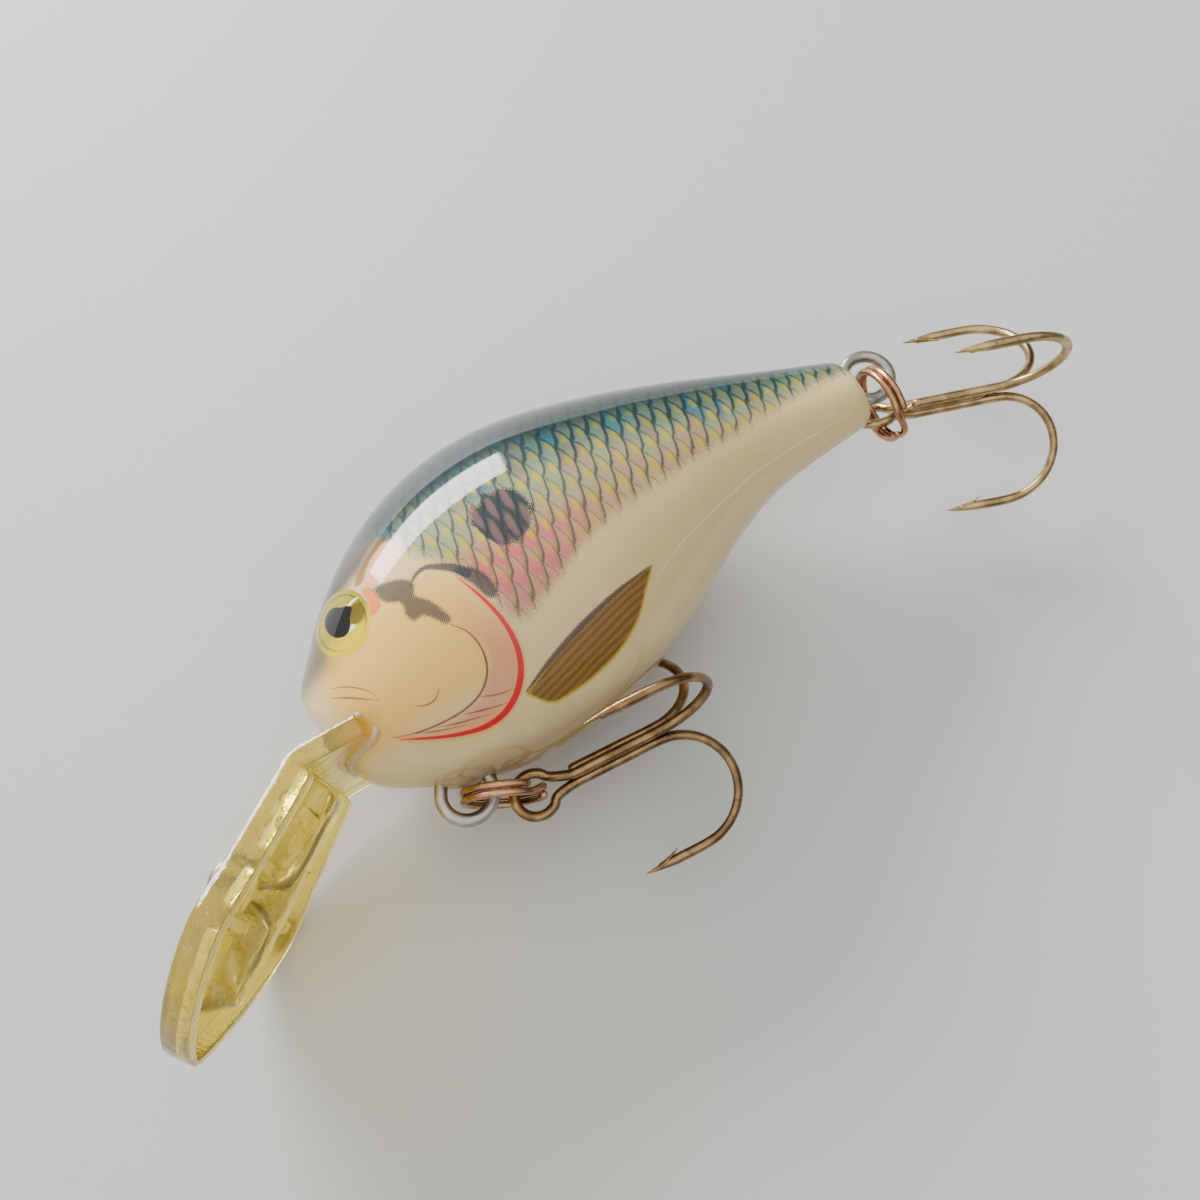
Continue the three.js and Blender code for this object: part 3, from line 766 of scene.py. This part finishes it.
class Field:
    """A number worked out by shader nodes, written as ordinary arithmetic."""

    def __init__(self, look, socket):
        self.look = look
        self.socket = socket

    def __add__(self, other):
        return self.look.math("ADD", self, other)

    def __sub__(self, other):
        return self.look.math("SUBTRACT", self, other)

    def __rsub__(self, other):
        return self.look.math("SUBTRACT", other, self)

    def __mul__(self, other):
        return self.look.math("MULTIPLY", self, other)

    def __abs__(self):
        return self.look.math("ABSOLUTE", self)

    __radd__ = __add__
    __rmul__ = __mul__


class Look:
    """A node material being written down, layer by layer."""

    def __init__(self, name, **sockets):
        self.material = bpy.data.materials.new(name)
        self.material.use_nodes = True
        self.tree = self.material.node_tree
        self.shader = self.tree.nodes["Principled BSDF"]
        self.set(**sockets)

    def feed(self, socket, value):
        if isinstance(value, Field):
            value = value.socket
        if isinstance(value, bpy.types.NodeSocket):
            self.tree.links.new(value, socket)
        elif isinstance(value, tuple) and len(socket.default_value) == 4:
            socket.default_value = (*value, 1)
        else:
            socket.default_value = value

    def set(self, **sockets):
        for key, value in sockets.items():
            self.feed(self.shader.inputs[key.replace("_", " ").title().replace("Ior", "IOR")], value)

    def node(self, kind, feeds, **settings):
        """The outputs of a new node with these settings and these values fed in."""
        made = self.tree.nodes.new("ShaderNode" + kind)
        for key, value in settings.items():
            setattr(made, key, value)
        for key, value in feeds.items():
            self.feed(made.inputs[key], value)
        return made.outputs

    def math(self, operation, *values):
        return Field(self, self.node("Math", dict(enumerate(values)), operation=operation)[0])

    def smooth(self, value, low, high):
        feeds = {"Value": value, "From Min": low, "From Max": high}
        return Field(self, self.node("MapRange", feeds, interpolation_type="SMOOTHSTEP")[0])

    def mark(self, name):
        return Field(self, self.node("Attribute", {}, attribute_name=name)["Fac"])

    def vector_mark(self, name):
        return self.node("Attribute", {}, attribute_name=name)["Vector"]

    def split(self, vector):
        return [Field(self, output) for output in self.node("SeparateXYZ", {0: vector})]

    def line(self, name):
        """A printed line's depth of ink: above 0 inside it."""
        signed, width, _ = self.split(self.vector_mark(name))
        return width - abs(signed)

    def object_place(self):
        """Position on the object in millimetres."""
        place = self.node("TexCoord", {})["Object"]
        return self.node("VectorMath", {0: place, "Scale": 1 / MM}, operation="SCALE")[0]

    def noise(self, place, scale, detail=3, roughness=0.55, stretch=None):
        if stretch is not None:
            place = self.node("VectorMath", {0: place, 1: stretch}, operation="MULTIPLY")[0]
        feeds = {"Vector": place, "Scale": scale, "Detail": detail, "Roughness": roughness}
        return Field(self, self.node("TexNoise", feeds)["Fac"])

    def chance_of(self, *cell):
        """A random number for each cell of a lattice."""
        place = self.node("CombineXYZ", dict(enumerate(cell)))[0]
        return Field(self, self.node("TexWhiteNoise", {"Vector": place}, noise_dimensions="3D")["Value"])

    def mix(self, share, under, over, blend="MIX"):
        feeds = {"Factor": share, 6: under, 7: over}
        return self.node("Mix", feeds, data_type="RGBA", blend_type=blend)[2]

    def bump(self, height, strength, distance):
        feeds = {"Height": height, "Strength": strength, "Distance": distance * MM}
        return self.node("Bump", feeds)["Normal"]


# Inks of the print, and a tan for the painted shade under the belly.
DOT_INK = (0.34, 0.22, 0.24)
CREAM = (0.66, 0.5, 0.22)
PEARL = (0.8, 0.64, 0.36)
BELLY_SHADE_TAN = (0.3, 0.2, 0.09)
SNOUT_GREY = (0.065, 0.066, 0.045)
CROWN_GREY = (0.03, 0.034, 0.026)
PEACH = (0.95, 0.56, 0.09)
ROSE = (0.66, 0.24, 0.14)
SCALE_CREAM = (0.5, 0.39, 0.18)
SCALE_MINT = (0.3, 0.37, 0.2)
SCALE_ROSE = (0.5, 0.27, 0.19)
SCALE_PINK = (0.66, 0.13, 0.15)
SCALE_YELLOW = (0.62, 0.46, 0.03)
SCALE_OLIVE = (0.24, 0.26, 0.04)
SCALE_OCHRE = (0.3, 0.2, 0.02)
SCALE_TEAL = (0.06, 0.13, 0.11)
SCALE_BLUE = (0.02, 0.15, 0.2)
BACK_DARK = (0.012, 0.026, 0.024)
NET_LOW = (0.05, 0.056, 0.046)
NET_HIGH = (0.006, 0.025, 0.032)
SPOT_DARK = (0.012, 0.026, 0.036)
SPOT_FILL = (0.16, 0.09, 0.11)
GILL_RED = (0.58, 0.012, 0.02)
GILL_FRINGE = (0.8, 0.3, 0.06)
LINE_PURPLE = (0.1, 0.035, 0.06)
PALE_LINE = (0.9, 0.82, 0.66)
LINE_BROWN = (0.22, 0.05, 0.03)
BLOT_GREY = (0.028, 0.034, 0.042)
FIN_BROWN = (0.27, 0.13, 0.02)
FIN_DARK = (0.055, 0.03, 0.012)
FIN_YELLOW = (0.52, 0.38, 0.03)
FIN_PURPLE = (0.06, 0.022, 0.045)
EYE_YELLOW = (0.74, 0.56, 0.002)
EYE_OLIVE = (0.14, 0.145, 0.01)
EYE_BROWN = (0.06, 0.04, 0.006)
EYE_GLINT = (0.92, 0.88, 0.62)
EYE_BLACK = (0.006, 0.006, 0.006)
ORANGE = (0.86, 0.2, 0.03)
BROW_PEACH = (0.84, 0.42, 0.24)
BROW_TAN = (0.24, 0.13, 0.035)

SCREEN_PITCH = 0.2
SCREEN_TURN = math.radians(33)
SCALE_BOW = 0.13
SCALE_MIDDLE = (0.5, 0.5)
BEAD_PLACE = (0.56, 0.76)


class Print(Look):
    """A look printed in layers, which share the places on the flank, noise, and a screen of soft
    round dots from -1 to 1."""

    def __init__(self, name, **sockets):
        super().__init__(name, **sockets)
        self.place = self.vector_mark("place")
        self.x, self.y, self.unrolled = self.split(self.place)
        self.behind = self.mark("behind_head")
        self.grain, self.cloud = self.noise(self.place, 7, 2), self.noise(self.place, 0.35, 3)
        self.ragged = (self.grain - 0.5) * 0.16
        c, s, rate = math.cos(SCREEN_TURN), math.sin(SCREEN_TURN), 2 * math.pi / SCREEN_PITCH
        u = self.math("SINE", (self.x * c + self.unrolled * s) * rate)
        v = self.math("SINE", (self.unrolled * c - self.x * s) * rate)
        self.screen = u * v

    def lay(self, share, colour):
        self.ground = self.mix(share, self.ground, colour)


def head_grounds(ink):
    """Pearl flank, painted tan shade under the belly, peach cheek, grey snout and crown, rosy gill cover."""
    x, y, cloud = ink.x, ink.y, ink.cloud
    ink.ground = ink.mix(cloud * 0.5, CREAM, PEARL)
    # Painted shade: the underside of the belly darkened towards tan.
    ink.lay(ink.smooth(ink.unrolled + cloud, -11, -14.5) * 0.8, BELLY_SHADE_TAN)
    cheek = ink.smooth(ink.behind + (cloud - 0.5) * 0.8, 0.5, -1.2) * ink.smooth(y, 2.6, -1)
    ink.cheek = cheek * ink.smooth(y, -8.6, -6.6) * ink.smooth(x, 1.2, 3.6)
    ink.lay(ink.cheek * 0.85, PEACH)
    ink.lay(ink.smooth(y * -0.5 + x, 6.2, 2.6) * ink.smooth(y, -2.2, 0.4) * 0.9, SNOUT_GREY)
    crown = ink.smooth(y - x * 0.25 + (cloud - 0.5), 1, 2.7) * ink.smooth(ink.behind, 1.8, 0.8)
    ink.lay(crown * 0.94, CROWN_GREY)
    ink.lay(ink.smooth(ink.mark("gill_cover"), -0.1, 0.5) * ink.smooth(y, 1, -8) * 0.75, ROSE)


def scale_lattice(ink):
    """Two leaning families of bowed lines: the place across each scale, a chance for each, and how
    far the scaled area, the teal and the dark back reach."""
    column, row, _ = ink.split(ink.vector_mark("lattice"))
    wobble = (ink.noise(ink.place, 1.1, 2) - 0.5) * 0.2
    lean = row * 0.5
    rising, falling = column - lean + wobble, column + lean - wobble
    bow_1 = ink.math("SINE", ink.math("FRACT", falling) * math.pi) * SCALE_BOW
    bow_2 = ink.math("SINE", ink.math("FRACT", rising) * math.pi) * SCALE_BOW
    rising, falling = rising - bow_1, falling - bow_2
    ink.rise, ink.fall = ink.math("FRACT", rising), ink.math("FRACT", falling)
    ink.chance = ink.chance_of(ink.math("FLOOR", rising), ink.math("FLOOR", falling))
    rough, cloudy = (ink.grain - 0.5) * 1.4, ink.cloud - 0.5
    ink.area = ink.smooth(ink.mark("scale_area") + rough + cloudy * 0.6 + ink.screen * 0.25, -0.2, 1)
    ink.teal = ink.smooth(ink.mark("teal") + cloudy * 1.2 + (ink.chance - 0.5) * 1.2, -1.2, 1.3)
    ink.back = ink.smooth(ink.mark("dark_back") + cloudy * 0.8, -1.2, 1.6)


def scale_reach(ink, place, wide=0.68, tall=1.25):
    """Distance over a scale, in its own widths of about a millimetre, from a place on it."""
    rise, fall = ink.rise - place[0], ink.fall - place[1]
    across, along = (rise + fall) * wide, (fall - rise) * tall
    return ink.math("SQRT", across * across + along * along)


def scale_fills(ink):
    """Cream to mint scales, some rosy, pink low on the flank, teal, blue and dark above, with a
    yellow bead and an ochre edge on each."""
    unrolled, ragged, area, teal, chance = ink.unrolled, ink.ragged, ink.area, ink.teal, ink.chance
    blush = ink.smooth(unrolled, 1.6, -0.4) * ink.smooth(ink.x, 28, 20) * ink.smooth(unrolled, -5.4, -3.2)
    heart = ink.smooth(scale_reach(ink, SCALE_MIDDLE) + ragged, 0.75, 0.25)
    skin = ink.mix(ink.smooth(unrolled, -0.5, 2.8), SCALE_CREAM, SCALE_MINT)
    skin = ink.mix(ink.smooth(chance, 0.45, 0.9) * 0.6, skin, SCALE_ROSE)
    skin = ink.mix(blush * (0.35 + heart * 0.6), skin, SCALE_PINK)
    skin = ink.mix(teal * 0.8, skin, SCALE_TEAL)
    blue = ink.smooth(chance, 0.3, 0.1) * ink.smooth(ink.mark("teal"), -1.2, 0)
    ink.lay(area, ink.mix(blue * 0.75, skin, SCALE_BLUE))
    yellow = ink.smooth(scale_reach(ink, BEAD_PLACE) + ragged, 0.44, 0.16) * ink.smooth(unrolled, -3.4, 0.2)
    yellow = yellow * area * ink.smooth(ink.back, 0.9, 0.1)
    ink.lay(yellow * 0.8, ink.mix(teal, SCALE_YELLOW, SCALE_OLIVE))
    ochre = ink.smooth(abs(ink.rise - 0.86) + ragged, 0.2, 0.05) * ink.smooth(unrolled, 2, -0.6)
    ink.lay(ochre * area * 0.5, SCALE_OCHRE)
    ink.lay(ink.back * ink.smooth(ink.behind, -1.2, 0.8) * 0.9, BACK_DARK)


def scale_net(ink):
    """The dark net of scale edges, stronger along one family of lines."""
    screen, teal = ink.screen, ink.teal
    blur = (ink.grain - 0.5) * 0.07 + screen * 0.03
    thick = 0.075 + teal * 0.05
    strong, weak = (ink.math("MINIMUM", side, 1 - side) - blur for side in (ink.rise, ink.fall))
    strong = ink.smooth(strong - thick, 0.06, -0.05) * (0.86 + screen * 0.14)
    weak = ink.smooth(weak - thick * 0.7, 0.05, -0.05) * (0.6 + teal * 0.3) * (0.8 + screen * 0.2)
    net = ink.math("MAXIMUM", strong, weak) * ink.area
    ink.lay(ink.math("MINIMUM", net, 0.96), ink.mix(teal, NET_LOW, NET_HIGH))


def shoulder_spot(ink):
    """A dark spot with a paler heart in each of its scales."""
    cell = scale_reach(ink, SCALE_MIDDLE, 1.5, 1.5) + ink.ragged * 2 - ink.screen * 0.1
    colour = ink.mix(ink.smooth(cell, 0.98, 0.5) * 0.85, SPOT_DARK, SPOT_FILL)
    spot = ink.mark("spot") + (ink.grain - 0.5) * 1.1 + (ink.chance - 0.5) * 0.4 + ink.screen * 0.1
    ink.lay(ink.smooth(spot, 0, 0.2) * 0.93, colour)


def head_marks(ink):
    """Brow, cheek and gill marks and fine lines, broken up by the dot screen."""
    screen, ragged = ink.screen, ink.ragged
    ink.lay(ink.smooth(ink.mark("brow_peach") + ragged, -0.25, 0.12) * 0.85, BROW_PEACH)
    ink.lay(ink.smooth(ink.mark("brow_band") + ragged, -0.15, 0.1) * 0.8, BROW_TAN)
    ink.lay(ink.smooth(ink.mark("cheek_orange") + ragged, -0.15, 0.1) * 0.9, ORANGE)
    blot = ink.smooth(ink.mark("blots") + screen * 0.14 + ragged * 2.2, -0.12, 0.06)
    ink.lay(blot * (0.86 + screen * 0.12), BLOT_GREY)
    ink.lay(ink.smooth(ink.line("gill_crest") + screen * 0.08 + ragged, -0.06, 0.05) * 0.88, BLOT_GREY)
    for name in FINE_LINES:
        ink.lay(ink.smooth(ink.line(name) + screen * 0.015, -0.03, 0.03) * 0.85, LINE_BROWN)
    cheek_line, red = ink.line("cheek_line"), ink.line("gill_red")
    ink.lay(ink.smooth(cheek_line + ragged, -0.3, 0) * 0.3, GILL_FRINGE)
    ink.lay(ink.smooth(cheek_line + screen * 0.02, -0.03, 0.03) * 0.9, LINE_PURPLE)
    ink.lay(ink.smooth(red + ragged, -0.3, -0.02) * 0.6, GILL_FRINGE)
    ink.lay(ink.smooth(red + screen * 0.02, -0.03, 0.04), GILL_RED)


def belly_fin(ink):
    """The fin with its rays, yellow fringe and purple top edge, and a thin pale line painted along the belly
    behind it.
    """
    x, y, grain, screen, ragged = ink.x, ink.y, ink.grain, ink.screen, ink.ragged
    fin = ink.mark("fin")
    ray = ink.math("SINE", (y * 0.95 - x * 0.3) * 15 + ink.cloud * 5 + x * 0.5) + (grain - 0.5) * 1.6
    colour = ink.mix(ink.smooth(ray, -0.9, 0.9) * 0.6 + 0.4, FIN_DARK, FIN_BROWN)
    colour = ink.mix(ink.smooth(screen + grain, 0.4, 1.1) * 0.5, colour, FIN_DARK)
    colour = ink.mix(ink.smooth(fin + ragged, 0.24, 0.06), colour, FIN_YELLOW)
    ink.lay(ink.smooth(fin + ragged * 0.6, -0.08, 0.1) * 0.94, colour)
    edge = ink.line("fin_edge") + screen * 0.05 + ragged * 0.5
    ink.lay(ink.smooth(edge, -0.05, 0.08) * 0.88, FIN_PURPLE)
    ink.lay(ink.smooth(ink.line("belly_pale_line"), -0.05, 0.05) * 0.4, PALE_LINE)


def printed_eye(ink):
    """A yellow iris, olive above, with a brown ring and rim, a black pupil and pale glints."""
    x, y, screen, ragged, eye = ink.x, ink.y, ink.screen, ink.ragged, ink.mark("eye")
    iris = ink.mix(ink.smooth(y + ragged * 3 - x * 0.1, -0.9, 1) * 0.72, EYE_YELLOW, EYE_OLIVE)
    ring = ink.smooth(abs(eye - 0.36 + ragged * 0.5), 0.1, 0.02) * ink.smooth(y, -0.9, 0.6)
    shade = ink.smooth(ink.mark("iris_shade") + screen * 0.12, -0.04, 0.1)
    rim = ink.smooth(eye + ragged + screen * 0.05, 0.02, -0.2) * ink.smooth(y + x * 0.4, 3, 0.9)
    for share, colour in (
        (ring * 0.7, EYE_BROWN),
        (shade * 0.8, EYE_BROWN),
        (ink.smooth(ink.mark("iris_glint"), -0.05, 0.05), EYE_GLINT),
        (ink.smooth(ink.line("iris_spark"), -0.03, 0.03), EYE_GLINT),
        (ink.smooth(ink.mark("pupil"), -0.03, 0.04), EYE_BLACK),
        (rim, EYE_BROWN),
    ):
        iris = ink.mix(share, iris, colour)
    ink.lay(ink.smooth(eye, -0.06, 0.03), iris)


def printed_shell_with_belly_shade():
    """The fish print, with painted shade under the belly, under a glossy clear coat."""
    ink = Print(
        "printed_shell_with_belly_shade", specular_ior_level=0.05, coat_weight=1, coat_roughness=0.02, coat_ior=1.42,
    )
    for layer in (
        head_grounds, scale_lattice, scale_fills, scale_net, shoulder_spot, head_marks, belly_fin,
        printed_eye,
    ):
        layer(ink)
    tint = (ink.screen * 0.5 + 0.5) * (0.08 + ink.math("MAXIMUM", ink.area, ink.cheek * 0.75) * 0.42)
    rough = ink.smooth(ink.noise(ink.place, 2.2, 4), 0.3, 0.8) * 0.16 + 0.26
    ink.set(base_color=ink.mix(tint, ink.ground, DOT_INK, "MULTIPLY"), roughness=rough)
    ink.set(normal=ink.bump(ink.noise(ink.place, 0.8, 2), 0.25, 0.03))
    ink.set(coat_normal=ink.bump(ink.noise(ink.place, 3, 5, 0.7), 0.12, 0.012))
    return ink.material


AMBER_DEEP = (0.92, 0.68, 0.05)
AMBER_PALE = (0.97, 0.81, 0.15)
GLUE_WARM = (0.92, 0.84, 0.62)
GLUE_PALE = (0.97, 0.93, 0.8)
STEEL_DULL = (0.42, 0.43, 0.45)
STEEL_BRIGHT = (0.58, 0.59, 0.6)
FLOOR_PALE = (0.54, 0.54, 0.53)
HOOK_STAIN = (0.07, 0.045, 0.03)

# Each wire's light and dark metal, its stain and its roughness.
WIRE_METALS = {
    "hanger_steel": ((0.48, 0.45, 0.4), (0.3, 0.28, 0.25), (0.14, 0.11, 0.09), 0.3),
    "ring_bronze": ((0.6, 0.34, 0.19), (0.34, 0.17, 0.09), (0.12, 0.06, 0.04), 0.18),
    # The trebles' bronze in two copies: the tail's as lit, the belly's darker as painted shade.
    "tail_hook_bronze_painted_light": ((0.52, 0.38, 0.18), (0.27, 0.18, 0.08), HOOK_STAIN, 0.2),
    "belly_hook_bronze_painted_light": ((0.36, 0.23, 0.11), (0.17, 0.1, 0.05), HOOK_STAIN, 0.2),
}


def amber_plastic():
    look = Look("amber_plastic", ior=1.57, transmission_weight=0.93, specular_ior_level=0.5)
    place = look.object_place()
    look.set(base_color=look.mix(look.noise(place, 0.25, 3), AMBER_DEEP, AMBER_PALE))
    scuff = look.smooth(look.noise(place, 3.4, 6, 0.7), 0.56, 0.74)
    look.set(roughness=0.05 + scuff * 0.22)
    flow = look.noise(place, 0.7, 3, stretch=(1, 1, 3.2))
    look.set(normal=look.bump(flow + scuff * 0.15, 0.5, 0.12))
    return look.material


def clear_glue():
    look = Look("clear_glue", ior=1.5, transmission_weight=0.75)
    place = look.object_place()
    look.set(base_color=look.mix(look.noise(place, 0.8, 2), GLUE_WARM, GLUE_PALE))
    look.set(roughness=0.06 + look.noise(place, 2, 3) * 0.1)
    look.set(normal=look.bump(look.noise(place, 0.9, 2), 0.4, 0.2))
    return look.material


def wire_metal(name):
    """Drawn or forged wire under a worn lacquer: cloudy colour, dark stains and fine scratches."""
    light, dark, stain, rough = WIRE_METALS[name]
    look = Look(name, metallic=1)
    place = look.object_place()
    cloud = look.noise(place, 0.55, 4)
    colour = look.mix(look.smooth(cloud, 0.36, 0.66), dark, light)
    spots = look.smooth(look.noise(place, 2.6, 5, 0.65), 0.6, 0.7)
    colour = look.mix(spots * 0.7, colour, stain)
    scratch = look.noise(place, 5.5, 3, stretch=(0.35, 3, 3))
    look.set(base_color=colour, roughness=rough + cloud * 0.12 + spots * 0.25)
    look.set(normal=look.bump(scratch + spots * 0.4, 0.35, 0.03))
    return look.material


def hidden_steel():
    look = Look("hidden_steel", metallic=1)
    place = look.object_place()
    cloud = look.noise(place, 0.8, 3)
    look.set(base_color=look.mix(cloud, STEEL_DULL, STEEL_BRIGHT), roughness=0.2 + cloud * 0.2)
    look.set(normal=look.bump(look.noise(place, 4, 2), 0.2, 0.02))
    return look.material


def dress(pieces, material):
    for piece in pieces:
        piece.data.materials.clear()
        piece.data.materials.append(material)


dress(shells, printed_shell_with_belly_shade())
dress([lip], amber_plastic())
dress([glue], clear_glue())
dress(wires, wire_metal("hanger_steel"))
dress(rings, wire_metal("ring_bronze"))
# Each treble takes its own copy of the bronze; the belly's darker copy is painted shade.
for end, pieces in hooks.items():
    dress(pieces, wire_metal(f"{end}_hook_bronze_painted_light"))
inside = ["ballast_weight", "knocker_ball", "rattle_ball_1", "rattle_ball_2", "rattle_ball_3"]
dress([frame["nodes"][name] for name in inside], hidden_steel())


# ---- Camera, floor and light ----

CAMERA_TURN = math.radians(30.26)
CAMERA_TILT = math.radians(18)
CAMERA_DISTANCE = 88.5
CAMERA_TARGET = (23.24, -4.41, 0)
CAMERA_LENS = 34.5
SKY_DIRECTION = (-0.38, 0.05, 0.92)
SKY_DIM = 0.08
SKY_BRIGHT = 1.6
LIGHT_TARGET = (22, 0, 4)
FLOOR_HALF = 4.0


def add_camera():
    right = Vector((math.cos(CAMERA_TURN), -math.sin(CAMERA_TURN), 0))
    away = Vector((math.sin(CAMERA_TURN), math.cos(CAMERA_TURN), 0))
    back = Vector((0, 0, math.cos(CAMERA_TILT))) - away * math.sin(CAMERA_TILT)
    target = Vector((np.array(CAMERA_TARGET) + SNOUT) * MM)
    data = bpy.data.cameras.new("camera")
    data.lens = CAMERA_LENS
    data.clip_start = 0.002
    data.clip_end = 20
    camera = add_object("camera", data)
    turn = Matrix((right, back.cross(right), back)).transposed().to_4x4()
    camera.matrix_world = Matrix.Translation(target + back * CAMERA_DISTANCE * MM) @ turn
    bpy.context.scene.camera = camera


def add_floor():
    corners = [(-1, -1), (1, -1), (1, 1), (-1, 1)]
    mesh = bpy.data.meshes.new("floor")
    mesh.from_pydata([(x * FLOOR_HALF, y * FLOOR_HALF, 0) for x, y in corners], [], [(0, 1, 2, 3)])
    floor = add_object("floor", mesh)
    look = Look("pale_floor", base_color=FLOOR_PALE, roughness=0.6)
    mesh.materials.append(look.material)


def add_softbox(name, place, size, power, colour=(1, 1, 1)):
    """A rectangular soft light at a place in the lure's millimetres, facing the body."""
    data = bpy.data.lights.new(name, "AREA")
    data.shape = "RECTANGLE"
    data.size, data.size_y = size
    data.energy = power
    data.color = colour
    light = add_object(name, data)
    here = Vector((np.array(place) + SNOUT) * MM)
    there = Vector((np.array(LIGHT_TARGET) + SNOUT) * MM)
    light.location = here
    light.rotation_euler = (there - here).to_track_quat("-Z", "Y").to_euler()


def add_world():
    """Daylight that fades smoothly from a bright quarter of the sky, leaving no edge to mirror."""
    world = bpy.data.worlds.new("soft_studio")
    bpy.context.scene.world = world
    world.use_nodes = True
    nodes, links = world.node_tree.nodes, world.node_tree.links
    background = nodes["Background"]
    background.inputs["Color"].default_value = (1, 0.99, 0.97, 1)
    facing = nodes.new("ShaderNodeVectorMath")
    facing.operation = "DOT_PRODUCT"
    facing.inputs[1].default_value = SKY_DIRECTION
    links.new(nodes.new("ShaderNodeTexCoord").outputs["Generated"], facing.inputs[0])
    fade = nodes.new("ShaderNodeMapRange")
    fade.interpolation_type = "SMOOTHSTEP"
    fade.inputs["To Min"].default_value = SKY_DIM
    fade.inputs["To Max"].default_value = SKY_BRIGHT
    links.new(facing.outputs["Value"], fade.inputs["Value"])
    links.new(fade.outputs["Result"], background.inputs["Strength"])


add_camera()
add_floor()
add_world()
add_softbox("window", (-57, 563, 224), (0.44, 0.2), 9)
add_softbox("fill", (210, -120, 240), (0.5, 0.5), 0.15, (1, 0.97, 0.92))
